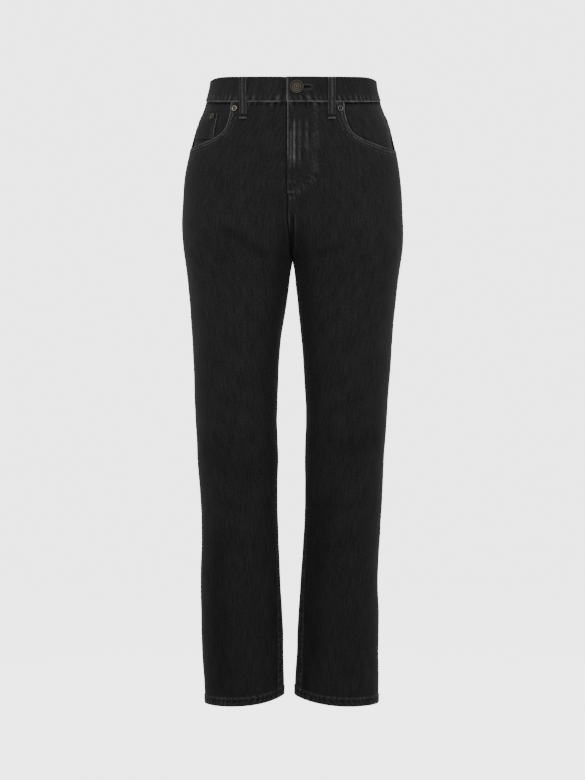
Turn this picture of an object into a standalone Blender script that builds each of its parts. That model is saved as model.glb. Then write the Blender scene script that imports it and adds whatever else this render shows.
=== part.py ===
"""Cropped straight jeans, hollow and open as if worn, made of the pieces that a maker cuts and sews.

Metres, +Z up. The front faces -Y and the wearer's left is +X. The origin is the middle of the waist,
half way down the waistband at the side. Every cloth piece is a wall on one shared surface, addressed by
side (LEFT or RIGHT), arc (metres round the cloth from the side seam, forward negative) and drop (metres
below the waistband's top edge at the side). Lift moves a point outwards from that surface.
"""

from collections import namedtuple
from functools import lru_cache

import bmesh
import bpy
import numpy as np
from mathutils import Vector

LEFT, RIGHT = 1, -1
SIDES = {LEFT: "left", RIGHT: "right"}

# Cloth and seams
GAP = 0.0003
CLOTH = 0.0015
BAND_CLOTH = 0.0030
BAND_LIFT = 0.0012
LOOP_CLOTH = 0.0020

# Lengths down the garment, at the side
WAIST_MIDDLE = 0.0185
BAND_HEIGHT = 0.0370
FLY_END = 0.1750
CROTCH = 0.2750
HEM = 0.9365
HEM_DEPTH = 0.0120
HEM_LIFT = 0.0008
HEM_CLOTH = 0.0030

# How the edges lie: the waist drops to the front, its corners round off, the hem rises at the inseam
WAIST_TILT = 0.148
TILT_END = 0.200
SIDE_DIP = 0.0065
SIDE_DIP_POWER = 14
HEM_RISE = 0.0130
HEM_RISE_FROM = 0.800
SEAM_FORWARD = 0.008
INSEAM_FORWARD = 0.022

# The centre front line of the fly, band and pockets stands a little to the wearer's right
CENTRE_FRONT = -0.0075
FLY_LIFT = 0.0018
FLY_FLAT = 0.0025
BAND_LAP = 0.0010
BAND_UNDERLAP = 0.0300

# The yoke's depth below the band
YOKE_AT_SIDE = 0.0300
YOKE_AT_BACK = 0.0680

# How finely the walls are divided
RING_POINTS = 721
RING_OVERRUN = 0.9
PANEL_SPANS = 12
CROWDING = 0.30
TIGHTENING = 0.75
SOFTENING = (-0.012, -0.006, 0.0, 0.006, 0.012)
YOKE_SPANS = 8
LEG_ROW = 0.042
SLOPE_STEP = 0.0008

# Outline of each leg and the body, from the side seam's plane: a row for each level
Section = namedtuple("Section", "drop right_outer right_inner left_outer left_inner front back square")
SECTIONS = (
    Section(-0.020, 0.1205, -0.1205, 0.1235, -0.1235, 0.0960, 0.0960, 2.20),
    Section(0.000, 0.1215, -0.1215, 0.1245, -0.1245, 0.0970, 0.0980, 2.20),
    Section(0.020, 0.1240, -0.1240, 0.1263, -0.1263, 0.0985, 0.1005, 2.20),
    Section(0.037, 0.1292, -0.1290, 0.1315, -0.1315, 0.1005, 0.1035, 2.20),
    Section(0.055, 0.1335, -0.1330, 0.1365, -0.1360, 0.1028, 0.1070, 2.20),
    Section(0.066, 0.1400, -0.1385, 0.1430, -0.1410, 0.1036, 0.1090, 2.20),
    Section(0.080, 0.1446, -0.1415, 0.1472, -0.1435, 0.1045, 0.1120, 2.20),
    Section(0.095, 0.1487, -0.1425, 0.1502, -0.1440, 0.1055, 0.1160, 2.20),
    Section(0.125, 0.1565, -0.1400, 0.1578, -0.1410, 0.1068, 0.1230, 2.20),
    Section(0.155, 0.1624, -0.1300, 0.1618, -0.1300, 0.1075, 0.1290, 2.22),
    Section(0.185, 0.1641, -0.1080, 0.1646, -0.1080, 0.1075, 0.1330, 2.25),
    Section(0.215, 0.1652, -0.0660, 0.1658, -0.0660, 0.1062, 0.1335, 2.30),
    Section(0.245, 0.1646, -0.0220, 0.1658, -0.0220, 0.1035, 0.1310, 2.35),
    Section(0.262, 0.1628, -0.0060, 0.1646, -0.0060, 0.1018, 0.1285, 2.38),
    Section(0.275, 0.1608, 0.0000, 0.1625, 0.0000, 0.1000, 0.1255, 2.40),
    Section(0.285, 0.1592, 0.0018, 0.1610, 0.0028, 0.0985, 0.1225, 2.40),
    Section(0.305, 0.1566, 0.0045, 0.1587, 0.0048, 0.0955, 0.1165, 2.36),
    Section(0.335, 0.1536, 0.0087, 0.1554, 0.0081, 0.0920, 0.1100, 2.30),
    Section(0.395, 0.1500, 0.0174, 0.1497, 0.0136, 0.0855, 0.1000, 2.20),
    Section(0.455, 0.1476, 0.0218, 0.1457, 0.0186, 0.0795, 0.0925, 2.15),
    Section(0.515, 0.1450, 0.0230, 0.1412, 0.0204, 0.0745, 0.0865, 2.12),
    Section(0.575, 0.1419, 0.0213, 0.1370, 0.0183, 0.0700, 0.0820, 2.10),
    Section(0.635, 0.1380, 0.0227, 0.1338, 0.0186, 0.0660, 0.0790, 2.10),
    Section(0.695, 0.1359, 0.0206, 0.1307, 0.0165, 0.0630, 0.0765, 2.10),
    Section(0.755, 0.1373, 0.0174, 0.1283, 0.0119, 0.0605, 0.0745, 2.10),
    Section(0.815, 0.1367, 0.0143, 0.1295, 0.0084, 0.0590, 0.0725, 2.10),
    Section(0.875, 0.1343, 0.0129, 0.1286, 0.0057, 0.0580, 0.0705, 2.10),
    Section(0.940, 0.1310, 0.0128, 0.1286, 0.0024, 0.0580, 0.0690, 2.10),
)

# The front pocket's opening: distance out from the centre front line at each drop
PocketPoint = namedtuple("PocketPoint", "drop from_centre")
POCKET_OPENING = (
    PocketPoint(0.0370, 0.0825),
    PocketPoint(0.0490, 0.0832),
    PocketPoint(0.0640, 0.0860),
    PocketPoint(0.0790, 0.0917),
    PocketPoint(0.0885, 0.1005),
    PocketPoint(0.0947, 0.1105),
    PocketPoint(0.0995, 0.1215),
    PocketPoint(0.1040, 0.1330),
    PocketPoint(0.1080, 0.1450),
    PocketPoint(0.1110, 0.1600),
)
FACING_UNDERLAP = 0.018
FACING_BELOW = 0.012
FACING_SINK = 0.0014
FACING_SPANS = 10

# The coin pocket lies on the wearer's right facing
COIN_TOP = 0.0545
COIN_TOP_FROM_CENTRE = 0.1025
COIN_SLANT = 0.19
COIN_OUTER_ARC = -0.0090
COIN_LIFT = 0.0004
COIN_SPANS = 7

# The largest drag lines and hollows: soft troughs (negative depth) and ridges between two points
Fold = namedtuple("Fold", "side from_arc from_drop to_arc to_drop width depth")
FOLDS = (
    Fold(RIGHT, -0.125, 0.236, -0.175, 0.272, 0.0070, -0.0022),
    Fold(RIGHT, -0.145, 0.226, -0.190, 0.262, 0.0100, 0.0012),
    Fold(LEFT, -0.150, 0.262, -0.185, 0.272, 0.0070, -0.0014),
    Fold(RIGHT, 0.120, 0.285, 0.190, 0.262, 0.0110, -0.0030),
    Fold(LEFT, 0.115, 0.288, 0.190, 0.265, 0.0120, -0.0028),
    Fold(RIGHT, 0.100, 0.318, 0.185, 0.290, 0.0130, -0.0022),
    Fold(LEFT, 0.105, 0.325, 0.180, 0.296, 0.0120, -0.0024),
    Fold(RIGHT, -0.045, 0.560, -0.110, 0.585, 0.0220, -0.0016),
    Fold(LEFT, -0.060, 0.548, -0.125, 0.570, 0.0200, -0.0014),
    Fold(RIGHT, 0.045, 0.570, 0.130, 0.600, 0.0160, -0.0030),
    Fold(LEFT, 0.050, 0.580, 0.125, 0.556, 0.0170, -0.0030),
    Fold(RIGHT, 0.060, 0.622, 0.120, 0.640, 0.0160, -0.0022),
    Fold(LEFT, 0.055, 0.630, 0.115, 0.612, 0.0150, -0.0022),
    Fold(LEFT, -0.170, 0.862, -0.135, 0.925, 0.0080, -0.0018),
    Fold(RIGHT, -0.055, 0.700, -0.050, 0.905, 0.0180, -0.0022),
    Fold(LEFT, -0.120, 0.640, -0.130, 0.880, 0.0200, -0.0022),
)

# Belt loops: width, how far they run past the band, and where each stands
LOOP_WIDTH = 0.0112
LOOP_TOP = 0.0012
LOOP_BELOW_BAND = 0.0260
LOOP_FOLD = 0.0075
LOOP_BOW = 0.0006
FRONT_LOOP_FROM_CENTRE = 0.0642
SIDE_BACK_LOOP_ARC = 0.0850

# Back pockets, on the back panels
PATCH_TOP = 0.1200
PATCH_WIDTH = 0.1340
PATCH_FOOT_WIDTH = 0.1160
PATCH_SIDE = 0.1080
PATCH_POINT = 0.1360
PATCH_FROM_BACK = 0.0420
PATCH_TILT = 0.0060
PATCH_LIFT = 0.0006
PATCH_SPANS = 12
PATCH_ROWS = 10

# Button and rivets
BUTTON_RADIUS = 0.0100
BUTTON_SHANK_RADIUS = 0.0014
BUTTON_DROP = 0.0155
BUTTON_FROM_CENTRE = 0.0133
BUTTONHOLE_WIDTH = 0.0034
BUTTONHOLE_LENGTH = 0.0200
RIVET_RADIUS = 0.0046
RIVET_DROP = 0.0468
RIVET_FROM_CENTRE = 0.0767
COIN_RIVET_DROP = 0.0592
COIN_RIVET_FROM_CENTRE = 0.1095
ROUND_SEGMENTS = 24

DENIM = (0.0130, 0.0130, 0.0132)
DENIM_SHADES = {"band": 1.15, "front": 1.0, "back": 1.0, "yoke": 1.05, "pocket": 1.1, "loop": 1.2}
BRONZE = (0.085, 0.070, 0.055)
COPPER = (0.330, 0.260, 0.215)
GUNMETAL = (0.160, 0.158, 0.155)
AGED_BRASS = (0.120, 0.118, 0.085)


def ease(low, high, value):
    """0 below low, 1 above high, and smooth between them."""
    share = np.clip((value - low) / (high - low), 0.0, 1.0)
    return share * share * (3.0 - 2.0 * share)


def smooth_through(places, values, at):
    """The value at a place, on a smooth curve through the table's points that never swings past them."""
    step = np.diff(places)
    rise = np.diff(values) / step
    turning = rise[:-1] * rise[1:] <= 0
    total = np.where(turning, 1.0, rise[:-1] + rise[1:])
    middle = np.where(turning, 0.0, 2.0 * rise[:-1] * rise[1:] / total)
    slope = np.concatenate(([rise[0]], middle, [rise[-1]]))
    i = int(np.clip(np.searchsorted(places, at) - 1, 0, len(step) - 1))
    t = (at - places[i]) / step[i]
    start = values[i] + t * t * (3 - 2 * t) * (values[i + 1] - values[i])
    return start + step[i] * t * (1 - t) * ((1 - t) * slope[i] - t * slope[i + 1])


@lru_cache(maxsize=None)
def section(drop):
    """The table's row at any drop, read between its rows and softened over a short way up and down."""
    table = np.array(SECTIONS)
    low, high = table[0, 0], table[-1, 0]
    levels = [min(max(drop + step, low), high) for step in SOFTENING]
    columns = [
        np.mean([smooth_through(table[:, 0], table[:, k], at) for at in levels])
        for k in range(table.shape[1])
    ]
    return Section(*columns)


@lru_cache(maxsize=None)
def ring(side, drop):
    """One level of one half of the garment, as a closed curve that overruns itself a little.

    Returns its turns (pi at the inner side, 0 at the outer), its arcs from the side seam and its points.
    """
    row = section(drop)
    outer, inner = (row.left_outer, row.left_inner) if side == LEFT else (row.right_outer, row.right_inner)
    if drop >= CROTCH:
        inner = max(inner, 0.0)
    centre, half = (outer + inner) / 2, (outer - inner) / 2
    turn = np.linspace(-np.pi - RING_OVERRUN, np.pi + RING_OVERRUN, RING_POINTS)
    across, along = np.cos(turn), np.sin(turn)
    power = 2.0 / row.square
    out = GAP / 2 + centre + half * np.sign(across) * np.abs(across) ** power
    depth = np.where(along < 0, row.front, row.back)
    y = depth * np.sign(along) * np.abs(along) ** power
    inward = (outer - out) / (outer - inner)
    rise = HEM_RISE * inward**3 * ease(HEM_RISE_FROM, HEM, drop)
    tilt = WAIST_TILT * y * (1 - ease(BAND_HEIGHT, TILT_END, drop))
    z = WAIST_MIDDLE - drop + tilt + rise
    points = np.column_stack((side * out, y, z))
    length = np.concatenate(([0.0], np.cumsum(np.linalg.norm(np.diff(points, axis=0), axis=1))))
    near_side = np.abs(turn) < np.pi / 3
    seam = np.interp(-SEAM_FORWARD, y[near_side], length[near_side])
    return turn, length - seam, points


def between(side, drop, low, high, column, value):
    """The arc, between two turns of a ring, where one coordinate of its points has that value."""
    turn, arcs, points = ring(side, drop)
    inside = (turn >= low) & (turn <= high)
    coordinate, arcs = points[inside, column], arcs[inside]
    order = np.argsort(coordinate)
    return float(np.interp(value, coordinate[order], arcs[order]))


def front_edge(side, drop):
    """The arc of the centre front seam, or of the inseam below the crotch."""
    if drop < CROTCH:
        return between(side, drop, -np.pi, -np.pi / 2, 0, side * GAP / 2)
    return between(side, drop, -1.25 * np.pi, -0.75 * np.pi, 1, -INSEAM_FORWARD * ease(CROTCH, HEM, drop))


def back_edge(side, drop):
    """The arc of the centre back seam, or of the inseam below the crotch."""
    if drop < CROTCH:
        return between(side, drop, np.pi / 2, np.pi, 0, side * GAP / 2)
    return between(side, drop, 0.75 * np.pi, 1.25 * np.pi, 1, -INSEAM_FORWARD * ease(CROTCH, HEM, drop))


def front_arc_at(side, x, drop):
    """The arc on the front where the cloth stands at that x."""
    return between(side, drop, -0.9 * np.pi, -0.02, 0, x)


def bare(side, arc, drop):
    """The point of the smooth surface, before its folds."""
    _, arcs, points = ring(side, round(float(drop), 6))
    return np.array([np.interp(arc, arcs, points[:, axis]) for axis in range(3)])


def outward(side, arc, drop):
    """The direction straight out from the cloth."""
    round_it = bare(side, arc + SLOPE_STEP, drop) - bare(side, arc - SLOPE_STEP, drop)
    down_it = bare(side, arc, drop + SLOPE_STEP) - bare(side, arc, drop - SLOPE_STEP)
    normal = np.cross(down_it, round_it) * side
    return normal / np.linalg.norm(normal)


def fold_height(side, arc, drop):
    """How far the folds raise or sink the cloth here."""
    height = 0.0
    for fold in FOLDS:
        if fold.side != side:
            continue
        start = np.array((fold.from_arc, fold.from_drop))
        run = np.array((fold.to_arc, fold.to_drop)) - start
        offset = np.array((arc, drop)) - start
        share = float(offset @ run / (run @ run))
        beside = np.linalg.norm(offset - np.clip(share, 0.0, 1.0) * run) / fold.width
        height += fold.depth * np.exp(-beside * beside)
    return height


def cloth_point(side, arc, drop, lift=0.0):
    """The point that far out from the cloth's surface, folds included, and on its own side of the middle."""
    start = bare(side, arc, drop)
    point = start + outward(side, arc, drop) * (lift + fold_height(side, arc, drop))
    if 0 < side * start[0] < 0.001:
        point[0] = side * max(side * point[0], GAP / 2)
    return point


def denim(shade):
    """A cloth material: near black, very rough."""
    material = bpy.data.materials.new(f"denim_{shade}")
    material.use_nodes = True
    shader = material.node_tree.nodes["Principled BSDF"]
    colour = [channel * DENIM_SHADES[shade] for channel in DENIM]
    shader.inputs["Base Color"].default_value = (*colour, 1.0)
    shader.inputs["Roughness"].default_value = 0.92
    return material


def metal(name, colour, roughness):
    material = bpy.data.materials.new(name)
    material.use_nodes = True
    shader = material.node_tree.nodes["Principled BSDF"]
    shader.inputs["Base Color"].default_value = (*colour, 1.0)
    shader.inputs["Metallic"].default_value = 1.0
    shader.inputs["Roughness"].default_value = roughness
    return material


def add_object(name, mesh, material):
    mesh.materials.append(material)
    item = bpy.data.objects.new(name, mesh)
    bpy.context.scene.collection.objects.link(item)
    return item


def wall(name, grid, material):
    """A closed wall from rows of (side, arc, drop, outer lift, inner lift), each row as long as the next."""
    rows, columns = len(grid), len(grid[0])
    shape = bmesh.new()
    layers = [
        [
            [shape.verts.new(cloth_point(side, arc, drop, lifts[layer])) for side, arc, drop, *lifts in row]
            for row in grid
        ]
        for layer in range(2)
    ]
    for outer_or_inner in layers:
        for i in range(rows - 1):
            for j in range(columns - 1):
                corners = ((i, j), (i, j + 1), (i + 1, j + 1), (i + 1, j))
                shape.faces.new([outer_or_inner[r][c] for r, c in corners])
    rim = [(0, j) for j in range(columns - 1)] + [(i, columns - 1) for i in range(rows - 1)]
    rim += [(rows - 1, j) for j in range(columns - 1, 0, -1)] + [(i, 0) for i in range(rows - 1, 0, -1)]
    for (r0, c0), (r1, c1) in zip(rim, rim[1:] + rim[:1]):
        shape.faces.new((layers[0][r0][c0], layers[0][r1][c1], layers[1][r1][c1], layers[1][r0][c0]))
    bmesh.ops.recalc_face_normals(shape, faces=shape.faces)
    mesh = bpy.data.meshes.new(name)
    shape.to_mesh(mesh)
    shape.free()
    mesh.shade_smooth()
    mesh.set_sharp_from_angle(angle=0.7)
    return add_object(name, mesh, material)


def row_of(side, low, high, drop, spans, outer=0.0, inner=-CLOTH):
    """One row of a wall's grid, in even steps from one arc to another."""
    return [(side, low + (high - low) * j / spans, drop, outer, inner) for j in range(spans + 1)]


def panel_drops():
    """The levels of a leg panel's rows: close at the pocket and the crotch, wide down the leg."""
    seam = BAND_HEIGHT + GAP
    pocket = [seam, 0.046, 0.055, 0.064, 0.073, 0.081, 0.088, 0.0935, 0.0975, 0.1010, 0.1040]
    pocket += [0.1065, 0.1085, 0.1098, 0.1111, 0.1140]
    hip = [0.125, 0.142, 0.158, FLY_END, FLY_END + 0.0015, 0.190, 0.205, 0.220]
    reach = CROTCH - 0.225
    crotch = [CROTCH - reach * (1 - k / 7) ** 2 for k in range(8)]
    thigh = [CROTCH + 0.004, CROTCH + 0.012, CROTCH + 0.028, CROTCH + 0.052]
    hem_line = HEM - HEM_DEPTH
    count = round((hem_line - thigh[-1]) / LEG_ROW)
    leg = [thigh[-1] + (hem_line - thigh[-1]) * k / count for k in range(1, count + 1)]
    return pocket + hip + crotch + thigh + leg + [hem_line + 0.0012, HEM]


def hem_lifts(drop):
    """The outer and inner lift of a panel: the hem's folded layers stand proud on both faces."""
    if drop > HEM - HEM_DEPTH + 0.0005:
        return HEM_LIFT, HEM_LIFT - HEM_CLOTH
    return 0.0, -CLOTH


def pocket_edge(side, drop):
    """The arc of the front pocket's opening edge, or of the side seam below it."""
    table = np.array(POCKET_OPENING)
    if drop >= table[-1, 0]:
        return -GAP / 2
    reach = smooth_through(table[:, 0], table[:, 1], drop)
    x = CENTRE_FRONT + side * reach
    row = section(drop)
    outer = row.left_outer if side == LEFT else row.right_outer
    if abs(x) > outer:
        return -GAP / 2
    return min(front_arc_at(side, x, drop), -GAP / 2)


def front_places(side, drop):
    """The arcs of a front row, from the centre front or inseam to the side.

    The first span is narrow, to hold the fly's lap flat. Near the crotch only the columns at the rise
    seam crowd together, and the others already stand where the leg's do.
    """
    edge, foot = front_edge(side, drop), pocket_edge(side, drop)
    if drop >= CROTCH:
        edge += GAP / 2
        return [foot + (edge - foot) * (1 - j / PANEL_SPANS) for j in range(PANEL_SPANS + 1)]
    start = edge + FLY_FLAT
    steps = PANEL_SPANS - 1
    crowd = 1.0 + CROWDING * (1 - ease(FLY_END, CROTCH, drop))
    places = [edge] + [foot + (start - foot) * (1 - j / steps) ** crowd for j in range(PANEL_SPANS)]
    if drop <= FLY_END:
        return places
    inseam = front_edge(side, CROTCH)
    share = TIGHTENING * ease(FLY_END, CROTCH - 0.020, drop)
    leg = [foot + (inseam - foot) * (1 - j / PANEL_SPANS) for j in range(PANEL_SPANS + 1)]
    return [max(b, a + (edge - a) * share) for a, b in zip(places, leg)]


def front_panel(side):
    """Waist seam to hem, cut away at the pocket. The left one laps over the right at the fly."""
    grid = []
    for drop in panel_drops():
        outer, inner = hem_lifts(drop)
        row = []
        for arc in front_places(side, drop):
            lap = 0.0
            if side == LEFT and drop < FLY_END + 0.002:
                lap = FLY_LIFT * (1 - ease(FLY_FLAT + 0.0005, 0.016, bare(side, arc, drop)[0]))
            row.append((side, arc, drop, outer + lap, inner + lap))
        if side == LEFT and drop <= FLY_END:
            row[0] = (RIGHT, front_arc_at(RIGHT, CENTRE_FRONT, drop), *row[0][2:])
        grid.append(row)
    return wall(f"front_{SIDES[side]}", grid, denim("front"))


def yoke(side):
    grid = []
    for k in range(5):
        row = []
        for j in range(YOKE_SPANS + 1):
            top = BAND_HEIGHT + GAP
            share = j / YOKE_SPANS
            foot = BAND_HEIGHT + YOKE_AT_SIDE + (YOKE_AT_BACK - YOKE_AT_SIDE) * share - GAP / 2
            drop = top + (foot - top) * k / 4
            arc = GAP / 2 + (back_edge(side, drop) - GAP / 2) * share
            row.append((side, arc, drop, 0.0, -CLOTH))
        grid.append(row)
    return wall(f"yoke_{SIDES[side]}", grid, denim("yoke"))


def back_places(side, drop):
    """The arcs of a back row, from the side to the centre back or inseam, crowding as the front's do."""
    edge = back_edge(side, drop) - (0.0 if drop < CROTCH else GAP / 2)
    even = [GAP / 2 + (edge - GAP / 2) * j / PANEL_SPANS for j in range(PANEL_SPANS + 1)]
    if drop >= CROTCH:
        return even
    inseam = back_edge(side, CROTCH)
    share = TIGHTENING * ease(FLY_END, CROTCH - 0.020, drop)
    leg = [GAP / 2 + (inseam - GAP / 2) * j / PANEL_SPANS for j in range(PANEL_SPANS + 1)]
    return [min(b, a + (edge - a) * share) for a, b in zip(even, leg)]


def back_panel(side):
    """Yoke seam to hem. Its first rows follow the seam and settle level above the crotch."""
    level = FLY_END
    drops = [drop for drop in panel_drops() if drop > level + 0.01]
    grid = []
    for k in range(6):
        row = []
        for j in range(PANEL_SPANS + 1):
            share = j / PANEL_SPANS
            top = BAND_HEIGHT + YOKE_AT_SIDE + (YOKE_AT_BACK - YOKE_AT_SIDE) * share + GAP / 2
            drop = top + (level - top) * k / 5
            arc = GAP / 2 + (back_edge(side, drop) - GAP / 2) * share
            row.append((side, arc, drop, 0.0, -CLOTH))
        grid.append(row)
    for drop in drops:
        grid.append([(side, arc, drop, *hem_lifts(drop)) for arc in back_places(side, drop)])
    return wall(f"back_{SIDES[side]}", grid, denim("back"))


def pocket_facing(side):
    """The cloth that shows in the front pocket's opening and runs on behind the front panel."""
    foot = POCKET_OPENING[-1].drop + FACING_BELOW
    drops = [drop for drop in panel_drops() if drop < foot]
    grid = []
    for drop in drops:
        edge = min(pocket_edge(side, drop) - FACING_UNDERLAP, pocket_edge(side, 0.1010) - FACING_UNDERLAP)
        under = -CLOTH - GAP - FACING_SINK * ease(0.083, 0.1040, drop)
        grid.append(row_of(side, edge, -GAP / 2, drop, FACING_SPANS, under, under - CLOTH))
    return wall(f"pocket_facing_{SIDES[side]}", grid, denim("pocket"))


def coin_pocket():
    """The small pocket on the right facing, down to the front pocket's edge, which covers its foot."""
    side = RIGHT
    drops = [COIN_TOP, COIN_TOP + 0.0015, 0.064, 0.073, 0.081, 0.088, 0.0935]
    grid = []
    for k, drop in enumerate(drops):
        from_centre = COIN_TOP_FROM_CENTRE + COIN_SLANT * (drop - COIN_TOP)
        slanted = front_arc_at(side, CENTRE_FRONT + side * from_centre, drop)
        low = max(slanted, pocket_edge(side, drop) + 0.0006)
        lift = COIN_LIFT if k else COIN_LIFT - 0.0003
        grid.append(row_of(side, low, COIN_OUTER_ARC, drop, COIN_SPANS, lift, COIN_LIFT - CLOTH))
    return wall("coin_pocket", grid, denim("pocket"))


def back_pocket(side):
    """A five-sided patch. Its rows run level and narrow to the foot, then to the point."""
    centre = back_edge(side, PATCH_TOP) - PATCH_FROM_BACK - PATCH_WIDTH / 2
    grid = []
    for k in range(PATCH_ROWS + 1):
        down = PATCH_SIDE * k / PATCH_ROWS
        width = PATCH_WIDTH + (PATCH_FOOT_WIDTH - PATCH_WIDTH) * k / PATCH_ROWS
        row = []
        for j in range(PATCH_SPANS + 1):
            across = 2 * j / PATCH_SPANS - 1
            point = (PATCH_POINT - PATCH_SIDE) * (1 - abs(across)) * k / PATCH_ROWS
            drop = PATCH_TOP + down + point - PATCH_TILT * across
            row.append((side, centre + across * width / 2, drop, PATCH_LIFT + CLOTH, PATCH_LIFT))
        grid.append(row)
    return wall(f"back_pocket_{SIDES[side]}", grid, denim("pocket"))


def band_top(side, arc):
    """The drop of the waistband's top edge, which dips where it turns the side of the waist."""
    row = section(0.0)
    outer = row.left_outer if side == LEFT else row.right_outer
    return SIDE_DIP * min(1.0, abs(bare(side, arc, 0.0)[0]) / outer) ** SIDE_DIP_POWER


def waistband():
    """One long strip whose left end laps over its right end at the front."""
    lap_out = BAND_LAP + GAP
    lap_in = BAND_LIFT + BAND_LAP + GAP

    def stations(side, drop):
        """(arc, lift) round one half at one level, from the front end to the centre back."""
        seam = between(side, drop, -np.pi, -np.pi / 2, 0, side * GAP / 2)
        back = between(side, drop, np.pi / 2, np.pi, 0, 0.0)
        if side == LEFT:
            end = between(side, drop, -1.2 * np.pi, -np.pi / 2, 0, CENTRE_FRONT - BAND_LAP)
        else:
            end = between(side, drop, -1.2 * np.pi, -np.pi / 2, 0, CENTRE_FRONT + BAND_UNDERLAP)
        front = [end + (seam + 0.045 - end) * k / 7 for k in range(8)]
        rest = [front[-1] + (back - front[-1]) * k / 15 for k in range(1, 16)]
        places = front + rest
        lifts = []
        for arc in places:
            x, y, _ = bare(side, arc, drop)
            if y > 0:
                lifts.append(0.0)
            elif side == LEFT:
                lifts.append(lap_out * (1 - ease(0.030, 0.042, x)))
            else:
                lifts.append(-lap_in * ease(CENTRE_FRONT - 0.012, CENTRE_FRONT - 0.003, x))
        return list(zip(places, lifts))

    grid = []
    for share in (0.0, 0.05, 0.35, 0.65, 0.95, 1.0):
        row = []
        soft = 0.0003 if share in (0.0, 1.0) else 0.0
        for side in (LEFT, RIGHT):
            level = BAND_HEIGHT * share
            half = []
            for arc, lift in stations(side, level):
                drop = level + band_top(side, arc) * (1 - share)
                outer = BAND_LIFT + lift - soft
                half.append((side, arc, drop, outer, BAND_LIFT + lift - BAND_CLOTH + soft))
            row += half if side == LEFT else half[-2::-1]
        grid.append(row)
    return wall("waistband", grid, denim("band"))


def belt_loop(name, side, centre_of):
    """A folded strip from the band's top edge to below its foot, its lower end turned under and thicker."""
    foot = BAND_HEIGHT + LOOP_BELOW_BAND
    on_band = BAND_LIFT + GAP
    levels = (
        (LOOP_TOP, on_band, 0.8),
        (LOOP_TOP + 0.004, on_band, 1.0),
        (BAND_HEIGHT * 0.5, on_band + LOOP_BOW, 1.0),
        (BAND_HEIGHT + 0.001, on_band, 1.0),
        (BAND_HEIGHT + 0.007, GAP + 0.0004, 1.0),
        (foot - LOOP_FOLD, GAP, 1.0),
        (foot - LOOP_FOLD + 0.0015, GAP, 1.6),
        (foot - 0.0012, GAP, 1.6),
        (foot, GAP, 1.1),
    )
    grid = []
    for drop, lift, thick in levels:
        centre = centre_of(drop)
        half = LOOP_WIDTH / 2
        row = []
        for share, round_off in ((-1.0, 0.35), (-0.75, 0.0), (0.0, -0.12), (0.75, 0.0), (1.0, 0.35)):
            outer = lift + LOOP_CLOTH * (thick - round_off)
            row.append((side, centre + share * half, drop, outer, lift))
        grid.append(row)
    return wall(name, grid, denim("loop"))


def belt_loops():
    for side in (LEFT, RIGHT):
        word = SIDES[side]
        x = CENTRE_FRONT + side * FRONT_LOOP_FROM_CENTRE
        belt_loop(f"belt_loop_front_{word}", side, lambda drop, s=side, at=x: front_arc_at(s, at, drop))
        belt_loop(f"belt_loop_back_{word}", side, lambda drop: SIDE_BACK_LOOP_ARC)
    belt_loop("belt_loop_centre_back", LEFT, lambda drop: between(LEFT, drop, np.pi / 2, np.pi, 0, 0.0))


def turned(name, profile, material):
    """A closed round piece about its own Z, spun from (radius, height) pairs that start and end on it."""
    shape = bmesh.new()
    chain = [shape.verts.new((radius, 0.0, height)) for radius, height in profile]
    edges = [shape.edges.new(pair) for pair in zip(chain, chain[1:])]
    bmesh.ops.spin(
        shape,
        geom=chain + edges,
        cent=(0, 0, 0),
        axis=(0, 0, 1),
        angle=2 * np.pi,
        steps=ROUND_SEGMENTS,
        use_merge=False,
    )
    bmesh.ops.remove_doubles(shape, verts=shape.verts, dist=1e-6)
    bmesh.ops.recalc_face_normals(shape, faces=shape.faces)
    mesh = bpy.data.meshes.new(name)
    shape.to_mesh(mesh)
    shape.free()
    mesh.shade_smooth()
    mesh.set_sharp_from_angle(angle=0.6)
    return add_object(name, mesh, material)


def seat(item, side, arc, drop, lift):
    """Stands a round piece on the cloth, its own Z pointing straight out."""
    item.location = Vector(cloth_point(side, arc, drop, lift))
    item.rotation_mode = "QUATERNION"
    item.rotation_quaternion = Vector(outward(side, arc, drop)).to_track_quat("Z", "Y")


def waist_button():
    """A tack button: a dished head with a raised rim, on a shank through the buttonhole to the underlap."""
    r = BUTTON_RADIUS
    shank_foot = -(BAND_CLOTH + GAP) + GAP
    profile = (
        (0.0, shank_foot),
        (BUTTON_SHANK_RADIUS, shank_foot),
        (BUTTON_SHANK_RADIUS, 0.0),
        (0.90 * r, 0.0),
        (r, 0.0007),
        (r, 0.0016),
        (0.93 * r, 0.0023),
        (0.80 * r, 0.0024),
        (0.70 * r, 0.0016),
        (0.35 * r, 0.0016),
        (0.25 * r, 0.0019),
        (0.0, 0.0020),
    )
    button = turned("waist_button", profile, metal("bronze", BRONZE, 0.42))
    arc = front_arc_at(LEFT, CENTRE_FRONT + BUTTON_FROM_CENTRE, BUTTON_DROP)
    seat(button, LEFT, arc, BUTTON_DROP, BAND_LIFT + BAND_LAP + 2 * GAP)
    return button


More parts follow.
